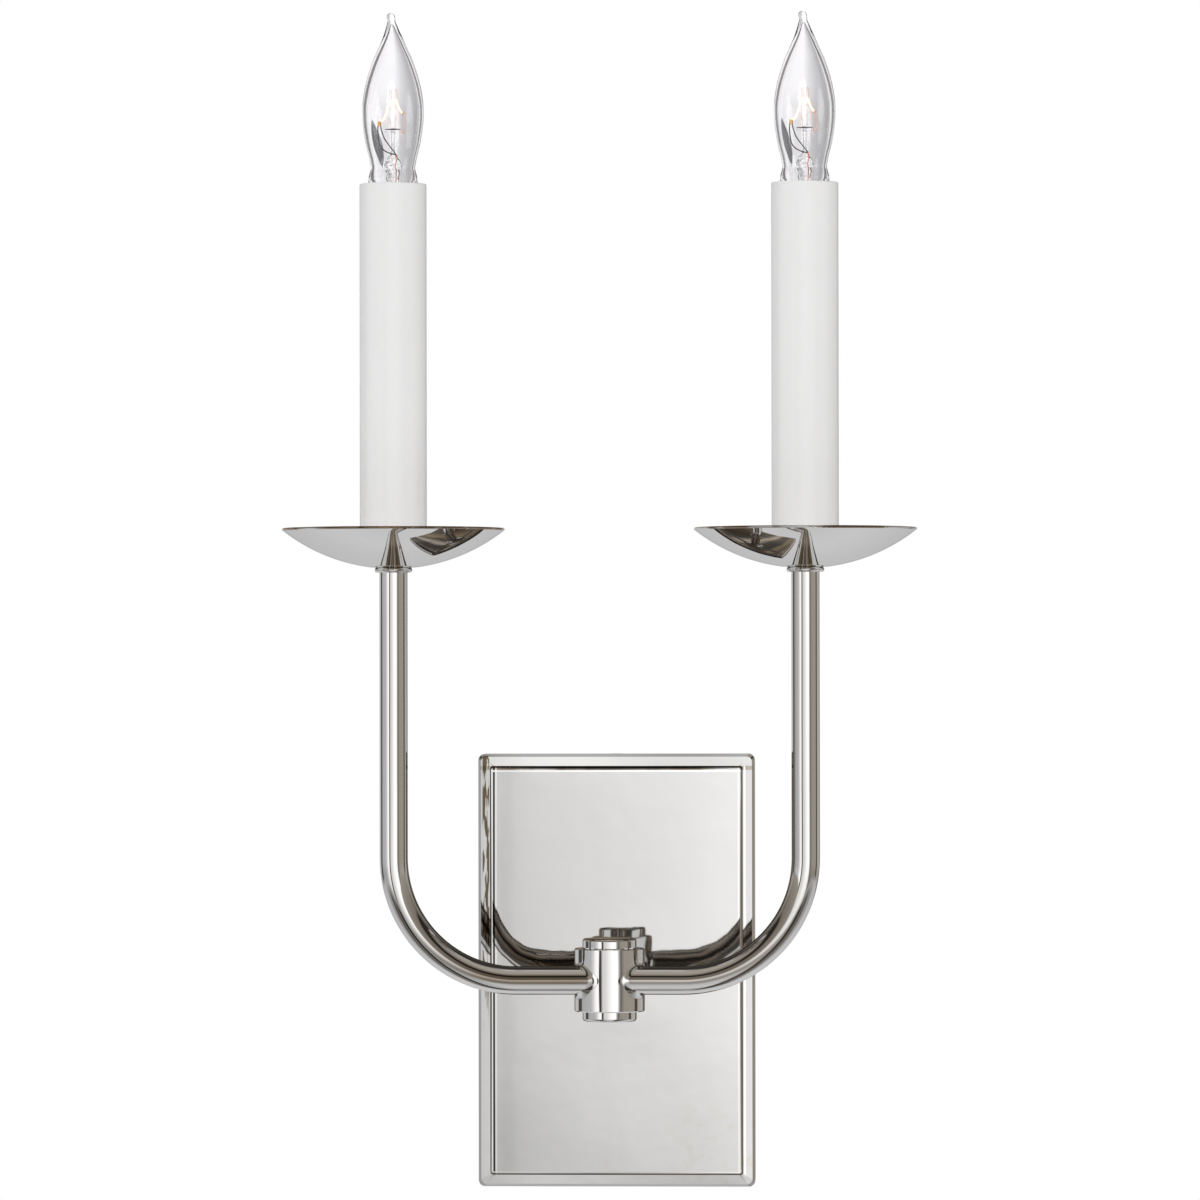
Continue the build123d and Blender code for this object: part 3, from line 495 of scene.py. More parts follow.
def pressed_form(net):
    """How the pressing departs from plain arcs: a flatter middle, a steeper left side and an easier rim."""
    place = net.place()
    across = place["X"]
    square, cube, fourth = PANEL_TERMS
    bend = net.math("MULTIPLY_ADD", across, fourth, cube)
    bend = net.math("MULTIPLY_ADD", across, bend, square)
    crown = net.times(across, across, bend)
    beyond = [net.math("SUBTRACT", net.math("ABSOLUTE", place[axis]), inside)
              for axis, inside in zip("XZ", RIM_INSIDE)]
    outward = net.math("MAXIMUM", net.math("SMOOTH_MAX", *beyond, RIM_BLEND), 0.0)
    return net.math("MULTIPLY_ADD", net.math("MINIMUM", outward, RIM_SPAN), RIM_EASE, crown)


def plate_marks_and_painted_lines(material):
    """Brown streaks in the left rim, a darker brown band along the step, stains low on the right, and painted
    highlight and reflection lines by the panel.
    """
    net, socket, base = base_colour(material)
    place = net.place()
    x, z = place["X"], place["Z"]
    front = net.step(place["Y"], -13.5 * MM, -13.9 * MM)
    soft_edge = 0.15

    def patches(stretch, scale, low, high):
        return net.step(net.noise(scale, 4.0, stretch), low, high)

    def within(*limits):
        """A mask between limits in millimetres."""
        return net.times(*(net.step(value, start * MM, end * MM) for value, start, end in limits))

    rim = within((x, -46.5, -46.9), (x, -49.4, -49.0), (z, -25, 5))
    step = within((z, 73.3, 73.7), (z, 75.2, 74.9))
    corner = within((x, 10, 40), (z, -42, -66))
    for mask, tone in (
        (net.times(rim, patches((1.0, 1.0, 0.1), 900.0, 0.47, 0.53), front), (0.22, 0.17, 0.11, 1.0)),
        (net.times(step, patches((1.0, 0.0, 0.0), 60.0, 0.4, 0.6), front), (0.5, 0.42, 0.34, 1.0)),
        (net.times(corner, patches(WHITE, 170.0, 0.5, 0.72)), (0.95, 0.89, 0.82, 1.0)),
    ):
        base = net.tint(mask, base, tone)
    inside_x = net.step(net.math("ABSOLUTE", x), 46.2 * MM, 45.2 * MM)
    inside_z = net.step(net.math("ABSOLUTE", z), 75.4 * MM, 74.4 * MM)
    # Painted highlight and reflection lines beside the panel: the side's length, the axis across it, a line's
    # middle and half width in millimetres, and its tone
    for along, across, centre, half, tone in (
        (inside_z, x, -45.75, 0.3, 1.0), (inside_z, x, -44.85, 0.32, 0.02), (inside_z, x, -44.1, 0.25, 0.95),
        (inside_z, x, 47.1, 0.3, 1.0), (inside_z, x, 44.9, 0.25, 0.85), (inside_x, z, 73.2, 0.28, 1.0),
        (inside_x, z, -74.65, 0.28, 0.1), (inside_x, z, -73.9, 0.22, 0.85),
    ):
        off = net.math("ABSOLUTE", net.math("SUBTRACT", across, centre * MM))
        line = net.times(net.step(off, (half + soft_edge) * MM, (half - soft_edge) * MM), along, front)
        base = net.mix(line, base, (tone, 0.99 * tone, 0.97 * tone, 1.0))
    net.link(base, socket)


def brown_rims(material):
    """Brown and pale stretches along the dishes' rims."""
    net, socket, base = base_colour(material)
    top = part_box("dish_left")[1].z
    edge = net.step(net.place()["Z"], top - 1.1 * MM, top - 0.7 * MM)
    mask = net.times(edge, net.step(net.noise(45.0, 2.0), 0.44, 0.52))
    net.link(net.tint(mask, base, (0.42, 0.3, 0.2, 1.0)), socket)


def paint_arm_reflection(material):
    """Painted reflection: a brown cast along the front of the arms' level part, strongest on the left."""
    net, socket, base = base_colour(material)
    lean, across = net.normal_z(), net.place()["X"]
    front = net.times(net.step(lean, 0.55, 0.3), net.step(lean, -0.3, -0.16))
    reach = net.step(net.math("ABSOLUTE", across), 78 * MM, 40 * MM)
    left = net.math("MULTIPLY_ADD", net.step(across, 12 * MM, -12 * MM), 0.4, 0.6)
    painted_reflection = net.times(front, net.times(reach, left))
    net.link(net.tint(painted_reflection, base, (0.4, 0.34, 0.28, 1.0)), socket)


def dress(nodes, material):
    """Give CAD nodes their finish."""
    for name in nodes:
        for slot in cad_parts[name].material_slots:
            slot.material = material


# ---------------------------------------------------------------- settings


def colour_of(name, description, default):
    return FloatVectorProperty(name=name, description=description, subtype="COLOR", default=default,
                               min=0, max=1)


def share_of(name, description, default):
    return FloatProperty(name=name, description=description, subtype="FACTOR", default=default,
                         min=0, max=1)


def length_of(name, description, default, low, high, precision=5):
    return FloatProperty(name=name, description=description, unit="LENGTH", default=default,
                         min=low, max=high, precision=precision)


class SconceFinishSettings(bpy.types.PropertyGroup):
    """Colours and gloss of the visible finishes."""

    nickel_colour: colour_of("Nickel", "Colour of the polished nickel plating", (0.79, 0.787, 0.78))
    nickel_roughness: share_of("Nickel roughness", "How soft reflections in the nickel are", 0.03)
    # Painted shade: the plate's nickel is darker than the arms' to stand in for the darker reflections the
    # plate shows
    plate_painted_shade: share_of("Plate shade", "How bright the plate's nickel is beside the arms'", 0.85)
    polish_waves: length_of("Polish waves", "Depth of the waves that polishing leaves",
                            0.3 * MM, 0, 1 * MM, 6)
    cover_colour: colour_of("Candle covers", "Colour of the candle covers", (0.835, 0.832, 0.83))
    cover_roughness: share_of("Cover roughness", "How satin the candle covers are", 0.32)
    connector_colour: colour_of("Wire connectors", "Colour of the twist-on connectors", (0.62, 0.12, 0.015))


class SconceBulbSettings(bpy.types.PropertyGroup):
    """Sizes and glow of the flame bulbs."""

    glass_thickness: length_of("Glass thickness", "Wall thickness of the bulb",
                               0.6 * MM, 0.3 * MM, 1.2 * MM)
    glow_colour: colour_of("Filament glow", "Colour of the glowing filament", (1.0, 0.42, 0.12))
    glow_strength: FloatProperty(name="Glow strength", description="How bright the filament glows",
                                 default=1.7, min=0, max=100)
    thread_pitch: length_of("Thread pitch", "Pitch of the candelabra screw thread",
                            2.54 * MM, 1 * MM, 5 * MM)
    filament_turns: IntProperty(name="Coil turns per 10 mm", description="How tightly the filament is wound",
                                default=28, min=5, max=60)


class SconceStudioSettings(bpy.types.PropertyGroup):
    """The pale room, its soft lamps and the camera."""

    floor_drop: length_of("Floor drop", "How far the floor lies below the sconce", 0.28, 0.0, 3.0, 2)
    room_light: FloatProperty(name="Room light", description="Even light from all round",
                              default=0.5, min=0, max=5)
    lamp_power: FloatProperty(name="Lamp power", description="Power of the large front lamp in watts",
                              default=18.0, min=0, max=500)
    camera_distance: length_of("Camera distance", "From the camera to the arms", 2.2696, 0.5, 10, 2)
    camera_lens: FloatProperty(name="Lens", description="Focal length of the camera",
                               unit="CAMERA", default=191.5, min=10, max=500)


# ---------------------------------------------------------------- operators


class SCONCE_OT_metalwork(bpy.types.Operator):
    """Polish the plate, hub, stem, arms, dishes and their caps and rings"""

    bl_idname = "sconce.metalwork"
    bl_label = "Polished metalwork"

    def execute(self, context):
        look = context.scene.sconce_finish
        gloss = {"roughness": look.nickel_roughness, "metallic": 1.0, "tone": 0.015, "tone_scale": 25.0,
                 "marks": 0.02, "haze": 0.015, "scale": 500.0, "dust": 0.12, "waves": look.polish_waves}
        # Painted shade: the plate's nickel is darkened against the arms' nickel
        plate_colour = tuple(value * look.plate_painted_shade for value in look.nickel_colour)
        nickel, dish, arm = (finish(f"{name}_nickel", look.nickel_colour, **gloss) for name in
                             ("polished", "dish", "arm"))
        pressed = finish("pressed_nickel", plate_colour, form=pressed_form, **gloss)
        # The plate gets painted highlight and reflection lines besides its brown marks and stains
        plate_marks_and_painted_lines(pressed)
        brown_rims(dish)
        # The arms get a painted brown reflection along their level part
        paint_arm_reflection(arm)
        dress(["hub_body", "hub_cap_top", "hub_cap_bottom", "stem_tube", "stem_collar"], nickel)
        dress(both("dish_ring", "dish_nut"), nickel)
        dress(both("dish"), dish)
        dress(both("arm"), arm)
        dress(["backplate"], pressed)
        fillets = [self.fillet(side) for side in SIDES]
        piece("hub_fillets", fillets, nickel, "fixture")
        return {"FINISHED"}

    def fillet(self, side):
        """The polished fillet between the hub and an arm: a ring of sections with a hollow face."""
        low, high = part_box("hub_body")
        hub_radius, hub_y = (high.x - low.x) / 2, (high.y + low.y) / 2
        low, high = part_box(f"arm_{side}")
        arm_radius, arm_y = (high.y - low.y) / 2, (high.y + low.y) / 2
        size, reach, sunk, count, steps = 1.8 * MM, 11.9 * MM, 0.5 * MM, 96, 7
        sign = 1 if side == "right" else -1
        points, faces = [], []

        def on_hub(radius, back, up):
            y = arm_y + radius * back
            return Vector((math.sqrt(hub_radius**2 - (y - hub_y) ** 2), y, radius * up))

        for index in range(count):
            angle = FULL_TURN * index / count
            back, up = math.cos(angle), math.sin(angle)
            spread = size
            if back < 0:
                spread = min(size, (reach - (hub_y - arm_y)) / -back - arm_radius)
            corner = on_hub(arm_radius, back, up)
            along_arm, along_hub = corner + Vector((size, 0.0, 0.0)), on_hub(arm_radius + spread, back, up)
            section = []
            for step in range(steps):
                share = step / (steps - 1)
                section.append(along_arm.lerp(corner, share).lerp(corner.lerp(along_hub, share), share))
            within = arm_radius - sunk
            section.append(Vector((corner.x - sunk, arm_y + within * back, within * up)))
            points += [(sign * point.x, point.y, point.z) for point in section]
        ring = steps + 1
        for index in range(count):
            after = (index + 1) % count
            for step in range(ring):
                other = (step + 1) % ring
                face = [index * ring + step, index * ring + other, after * ring + other, after * ring + step]
                faces.append(face if sign > 0 else face[::-1])
        return points, faces


class SCONCE_OT_fixings(bpy.types.Operator):
    """Finish the strap, screws, washer and nut, and cut the threads of the stem pipe"""

    bl_idname = "sconce.fixings"
    bl_label = "Strap, screws and pipe"

    def execute(self, context):
        zinc = listed_finish("zinc_plate")
        dress(["mounting_strap", "stem_washer", "stem_nut"], zinc)
        dress(["plate_grub_screws", "arm_grub_screws"], listed_finish("screw_steel"))
        dress(["ground_screw"], listed_finish("ground_green"))
        self.threaded_pipe(zinc)
        return {"FINISHED"}

    def threaded_pipe(self, material):
        """The stem pipe with a fine thread over its whole length."""
        low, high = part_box("stem_pipe")
        radius, length = (high.x - low.x) / 2 / MM, (high.y - low.y) / MM
        pitch, depth, bore, bevel, plain = 0.94, 0.3, 3.7, 0.4, 0.3
        rows = int(length / pitch * 6)

        def thread(angle, along):
            if not plain < along < length - plain:
                return 0.0
            return thread_dip(depth, along / pitch, angle, min(1.0, min(along, length - along) / pitch))

        outline = [(bore, 0.0), (radius - bevel, 0.0)]
        outline += [(radius, bevel + (length - 2 * bevel) * row / rows) for row in range(rows + 1)]
        outline += [(radius - bevel, length), (bore, length)]
        points, faces = turned_mesh(outline, (0.0, 0.0), segments=40, wave=thread, closed=True)
        centre = (low + high) / 2
        points = [(centre.x + x, low.y + z, centre.z - y) for x, y, z in points]
        piece("threaded_pipe", [(points, faces)], material, "fixture", ["stem_pipe"])


class SCONCE_OT_sockets(bpy.types.Operator):
    """Finish the brackets, rivets and socket bodies, and form the threaded socket shells"""

    bl_idname = "sconce.sockets"
    bl_label = "Sockets"

    def execute(self, context):
        pitch = context.scene.sconce_bulb.thread_pitch / MM
        zinc = bpy.data.materials["zinc_plate"]
        brass = listed_finish("socket_brass")
        dress(both("socket_bracket", "socket_rivets"), zinc)
        dress(both("socket_body"), listed_finish("socket_moulding"))
        dress(both("socket_contact"), brass)
        flange = 4.4
        for side in SIDES:
            node = f"socket_shell_{side}"
            mesh = threaded_shell(node, arm_axis(side), pitch, 0.25, (1.2, 1.2, 1.2), 0.6,
                                  foot=[(flange, 0.0), (-0.5, 0.0)],
                                  sole=[(-0.6, SHELL_SHEET), (flange, SHELL_SHEET)])
            piece(f"threaded_{node}", [mesh], brass, "fixture", [node])
        return {"FINISHED"}


class SCONCE_OT_covers(bpy.types.Operator):
    """Give the candle covers their satin off-white resin"""

    bl_idname = "sconce.covers"
    bl_label = "Candle covers"

    def execute(self, context):
        look = context.scene.sconce_finish
        resin = finish("cover_resin", look.cover_colour, look.cover_roughness, tone=0.012, tone_scale=18.0,
                       marks=0.03, haze=0.05, scale=420.0, bump=0.02, Coat_Weight=0.25, Coat_Roughness=0.12,
                       Subsurface_Weight=0.12, Subsurface_Radius=(0.003, 0.0026, 0.0022))
        # Painted shade darkens the resin's colour at its edges
        self.paint_shade_on_edges(resin)
        dress(both("candle_cover"), resin)
        return {"FINISHED"}

    def paint_shade_on_edges(self, resin):
        """Painted shade: the resin's colour turns a little darker where it is seen along its surface."""
        net, socket, base = base_colour(resin)
        facing = net.add("LayerWeight", {"Blend": 0.5}).outputs["Facing"]
        net.link(net.tint(net.step(facing, 0.72, 0.98), base, (0.8, 0.8, 0.8, 1.0)), socket)


class SCONCE_OT_bulbs(bpy.types.Operator):
    """Blow the flame bulbs and build their screw bases, glass stems, leads and coiled filaments"""

    bl_idname = "sconce.bulbs"
    bl_label = "Flame bulbs"

    def execute(self, context):
        size = context.scene.sconce_bulb
        self.materials(size)
        for side in SIDES:
            self.side, self.axis = side, arm_axis(side)
            self.glass(size.glass_thickness / MM)
            self.base(size.thread_pitch / MM)
            self.stem()
            self.hooks_and_bar()
            self.leads()
            self.filament(size.filament_turns)
        return {"FINISHED"}

    def materials(self, size):
        """Clear glass, base metals, wires and the glowing filament."""
        names = ("bulb_brass", "black_glass", "solder", "lead_wire", "copper_wire")
        self.looks = {name: listed_finish(name) for name in names}
        # The clamp and hook finishes carry a painted glow
        for name, (strength, colour) in GLOWS.items():
            self.looks[name] = listed_finish(name, Emission_Strength=strength, Emission_Color=colour)
        self.looks["clear"], net, shader = plain_material("clear_glass")
        set_inputs(shader, Transmission_Weight=1.0, IOR=1.5, Roughness=0.0)
        tint = net.group("Cloudy tone", Scale=40.0, Colour_A=(0.985, 0.985, 0.99, 1.0),
                         Colour_B=with_alpha(WHITE))
        net.link(tint["Color"], shader.inputs["Base Color"])
        self.looks["glow"], net, shader = plain_material("glowing_tungsten")
        set_inputs(shader, Metallic=1.0, Roughness=0.5, Emission_Strength=size.glow_strength)
        pale = tuple(0.5 + 0.5 * value for value in size.glow_colour)
        heat = net.group("Cloudy tone", Scale=900.0, Colour_A=with_alpha(size.glow_colour),
                         Colour_B=with_alpha(pale))
        net.link(heat["Color"], shader.inputs["Emission Color"])

    def put(self, name, meshes, look, slot, node=None, sharp=40.0):
        """A piece that rides on this side's bulb, and stands for one of its CAD nodes if that is given."""
        stands_for = [f"bulb_{node}_{self.side}"] if node else ()
        piece(f"{name}_{self.side}", meshes, self.looks[look], f"bulb_{self.side}", stands_for, sharp)

    def line(self, points, steps=0):
        """A line through (across, forward, height) in millimetres from the bulb's axis, smooth in steps.

        Where all points lie beside the axis, forward may be left out.
        """
        x, y = self.axis[0] / MM, self.axis[1] / MM
        smooth = rounded_line(points, steps) if steps else points
        return [(x + across, y - sum(forward), height) for across, *forward, height in smooth]

    def glass(self, skin):
        """The flame: neck, foot, waist and belly, drawn out to a small leaning tip."""
        flame = [(5.4, 266.0), (5.4, 276.2), (7.4, 279.2), (8.6, 282.0), (8.85, 284.0), (8.6, 286.4),
                 (8.1, 288.2), (7.93, 289.4), (8.1, 290.7), (8.65, 293.5), (9.6, 297.3), (10.4, 301.9),
                 (10.9, 306.4), (10.95, 310.5), (10.7, 313.8), (9.9, 318.6), (8.64, 323.3), (7.2, 327.5),
                 (5.3, 331.8), (3.95, 334.9), (2.75, 337.9), (1.9, 340.2), (1.42, 341.7), (1.5, 342.6),
                 (1.48, 343.5), (1.1, 344.3), (0.5, 344.65)]
        outer = rounded_line(flame, 5) + [(0.0, 344.7)]

        def wall(height):
            belly = min(max((height - 280.0) / 8.0, 0.0), 1.0)
            drawn = min(max((height - 312.0) / 16.0, 0.0), 1.0)
            foot = max(0.0, 1.0 - abs(height - 284.8) / 3.6)
            return skin * (1.0 + 0.8 * belly + 0.9 * drawn + 1.5 * foot)

        closes_at = 338.6
        inner = [(radius - wall(height), max(height, 266.0 + skin))
                 for radius, height in rounded_line(flame, 5) if height < closes_at]
        inner += [(0.75, 339.2), (0.4, 340.2), (0.0, 340.5)]
        tip_start, tip_top = 334.0, 344.7

        def lean(height):
            share = max(0.0, (height - tip_start) / (tip_top - tip_start))
            return -0.8 * share**1.5

        mesh = turned_mesh(outer + inner[::-1], self.axis, segments=80, lean=lean, closed=True)
        self.put("flame_glass", [mesh], "clear", "clear_glass", "glass", 60.0)

    def base(self, pitch):
        """The screw shell with its rolled thread, and the finishes of what closes it."""
        mesh = threaded_shell(f"bulb_base_{self.side}", self.axis, pitch, 0.45, (0.8, 4.0, 1.0), 0.9,
                              foot=[(-1.4, 0.1), (-0.7, 0.0), (-0.15, 0.35)],
                              sole=[(-0.9, 0.45), (-1.4, 0.5)])
        self.put("threaded_bulb_shell", [mesh], "bulb_brass", "brass", "base")
        dress([f"bulb_insulator_{self.side}"], self.looks["black_glass"])
        dress([f"bulb_tip_contact_{self.side}"], self.looks["solder"])

    def stem(self):
        """The flared glass stem with its flattened pinch and the rod above it."""
        flare = [(4.6, 267.0), (3.6, 271.5), (2.7, 276.5), (2.35, 282.0), (2.3, 287.5), (2.5, 290.5),
                 (1.7, 293.2), (0.75, 295.0), (0.6, 298.0), (0.6, 302.4), (0.0, 302.6)]
        outer = rounded_line(flare, 9)
        bore = [(0.0, 285.5), (0.9, 284.6), (1.3, 281.0), (1.7, 276.0), (2.6, 271.5), (3.7, 267.3)]
        pinch_low, pinch_high = 286.5, 293.5

        def squeeze(angle, height):
            from_middle = abs(height - (pinch_low + pinch_high) / 2)
            share = max(0.0, 1 - from_middle / ((pinch_high - pinch_low) / 2))
            ripple = 0.26 * math.sin(2.9 * height + 2 * angle) * math.sin(3 * angle + 0.4 * height)
            melted = 1.0 if 279.0 < height < 294.5 else 0.0
            return share * (0.75 * math.cos(angle) ** 2 - 0.9 * math.sin(angle) ** 2) + melted * ripple

        mesh = turned_mesh(outer + rounded_line(bore, 3), self.axis, segments=48, wave=squeeze, closed=True)
        self.put("glass_stem", [mesh], "clear", "clear_glass", "mount", 60.0)

    def hooks_and_bar(self):
        """The glass cross bar, and the fine hooks that stand in it."""
        bar = [(-2.9, 303.0), (-1.2, 302.9), (1.2, 302.9), (2.9, 303.0)]
        thick = [0.42, 0.5, 0.62, 0.8, 0.62, 0.5, 0.42]

        def bulge(share):
            place = share * (len(thick) - 1)
            index = min(int(place), len(thick) - 2)
            return thick[index] + (thick[index + 1] - thick[index]) * (place - index)

        mesh = tube_mesh(self.line(bar, 8), bulge, 16)
        self.put("hook_bar", [mesh], "clear", "clear_glass", "button", 60.0)
        hooks = []
        for across, peak in ((-0.85, 317.2), (1.1, 317.4)):
            hooks.append(([(across * 0.6, 0.0, 303.3), (across - 0.28, 0.0, 308.0),
                           (across - 0.3, 0.0, peak - 0.5), (across, 0.0, peak),
                           (across + 0.3, 0.0, peak - 0.5), (across + 0.28, 0.0, 314.0),
                           (across, 0.15, 313.0), (across - 0.2, 0.0, 313.6)], 0.09))
        hooks.append(([(2.2, 303.0), (3.2, 302.1), (3.9, 301.8), (4.25, 303.2), (4.35, 308.6), (3.9, 309.2),
                       (3.4, 308.6)], 0.1))
        hooks.append(([(3.45, 308.4), (3.5, 305.0), (3.9, 302.0)], 0.09))
        meshes = [tube_mesh(self.line(points, 6), radius, 6) for points, radius in hooks]
        # The hooks carry a painted glow
        self.put("filament_hooks", meshes, "hook_painted_glow", "tungsten", "hook")

    def leads(self):
        """Two dark lead wires from the clamp down to the pinch, and the copper wire below."""
        left = [(-5.0, 0.0, 305.6), (-5.4, 0.0, 303.6), (-5.15, 0.3, 300.2), (-4.4, 0.8, 297.2),
                (-2.6, 1.6, 295.4), (-0.6, 2.3, 294.5), (1.1, 2.7, 294.1)]
        right = [(-4.4, 0.3, 305.6), (-4.25, 0.3, 303.6), (-3.0, 0.9, 300.0), (-0.9, 1.9, 297.0),
                 (1.25, 2.7, 294.2)]
        cross = [(-2.8, -0.5, 303.2), (0.0, -0.5, 303.1), (2.8, -0.5, 303.2)]
        dark = [tube_mesh(self.line(points, 8), 0.21, 10) for points in (left, right)]
        dark.append(tube_mesh(self.line(cross), 0.15, 8))
        self.put("dark_leads", dark, "lead_wire", "lead_wire", "leads")
        red = [(1.25, 2.7, 294.3), (1.35, 2.85, 292.0), (1.05, 2.9, 289.8), (1.4, 2.9, 287.9),
               (1.25, 2.8, 285.5), (1.35, 2.9, 282.0), (1.2, 3.2, 276.0)]
        self.put("copper_lead", [tube_mesh(self.line(red, 8), 0.17, 10)], "copper_wire", "lead_wire")
        large = [(-4.85, 0.05, 304.5), (-4.85, 0.05, 304.7), (-4.8, 0.05, 306.0), (-4.8, 0.05, 306.1)]
        small = [(3.35, 308.3), (3.5, 309.1)]
        clamps = [tube_mesh(self.line(large), 0.62, 16), tube_mesh(self.line(small), 0.3, 12)]
        # The clamps carry a painted orange glow
        self.put("filament_clamps", clamps, "clamp_painted_glow", "lead_wire")

    def filament(self, turns):
        """The coiled filament, hung from the clamp over two hooks to the far support."""
        hung = [(-4.9, 306.1), (-3.4, 306.7), (-2.3, 309.3), (-1.2, 313.2), (-0.7, 313.4), (-0.1, 311.7),
                (0.3, 311.6), (0.95, 313.4), (1.35, 313.2), (2.2, 310.6), (3.4, 308.9)]
        wound = coil_line(self.line(hung, 6), 0.31, 10.0 / turns)
        self.put("coiled_filament", [tube_mesh(wound, 0.105, 6)], "glow", "tungsten", "filament", 180.0)


class SCONCE_OT_wiring(bpy.types.Operator):
    """Colour the wires and mould the ribbed twist-on connectors"""

    bl_idname = "sconce.wiring"
    bl_label = "Wiring"

    def execute(self, context):
        look = context.scene.sconce_finish
        dress(both("wire_live"), listed_finish("black_insulation"))
        dress(both("wire_neutral"), listed_finish("white_insulation"))
        plastic = finish("connector_plastic", look.connector_colour, 0.38, tone=0.12, tone_scale=180.0,
                         marks=0.1, haze=0.1, bump=0.25, dust=0.2)
        for kind in ("live", "neutral"):
            self.connector(kind, plastic)
        return {"FINISHED"}

    def connector(self, kind, material):
        """A tapered cap with grip ribs, two wings and the hollow that takes the wires."""
        low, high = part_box(f"wire_connector_{kind}")
        length = (high.z - low.z) / MM
        centre = (low + high) / 2
        mouth = (high.y - low.y) / 2 / MM
        tip, bore, bore_depth, skirt, rib_count, rib_depth, steps = 4.3, 3.9, 11.0, 3.0, 18, 0.32, 12

        def ribs(angle, along):
            if not skirt + 0.6 < along < length - 2.0:
                return 0.0
            return -rib_depth * (0.5 + 0.5 * math.cos(rib_count * angle)) ** 2

        outline = [(bore, 0.0), (mouth - 0.3, 0.0), (mouth, 0.3), (mouth, skirt),
                   (mouth - 0.25, skirt + 0.5)]
        for step in range(steps + 1):
            share = step / steps
            radius = mouth - 0.25 + (tip - mouth + 0.25) * share
            outline.append((radius, skirt + 0.7 + (length - skirt - 2.8) * share))
        outline += [(tip - 0.2, length - 1.4), (tip - 0.8, length - 0.45), (tip - 1.7, length), (0.0, length),
                    (0.0, bore_depth), (bore - 0.5, bore_depth)]
        turn = 1 if kind == "neutral" else -1
        root = (low.z if turn > 0 else high.z) / MM
        points, faces = turned_mesh(outline, (0.0, 0.0), segments=108, wave=ribs, closed=True)
        wings = [plate_mesh(3.0, 1.5, 8.9, 1.2, (side * (mouth + 0.8), 0.0, 4.65)) for side in (-1, 1)]
        meshes = []
        for mesh_points, mesh_faces in [(points, faces), *wings]:
            moved = [(centre.x + x, centre.y + turn * y, root * MM + turn * z) for x, y, z in mesh_points]
            meshes.append((moved, mesh_faces))
        piece(f"ribbed_connector_{kind}", meshes, material, "fixture", [f"wire_connector_{kind}"])


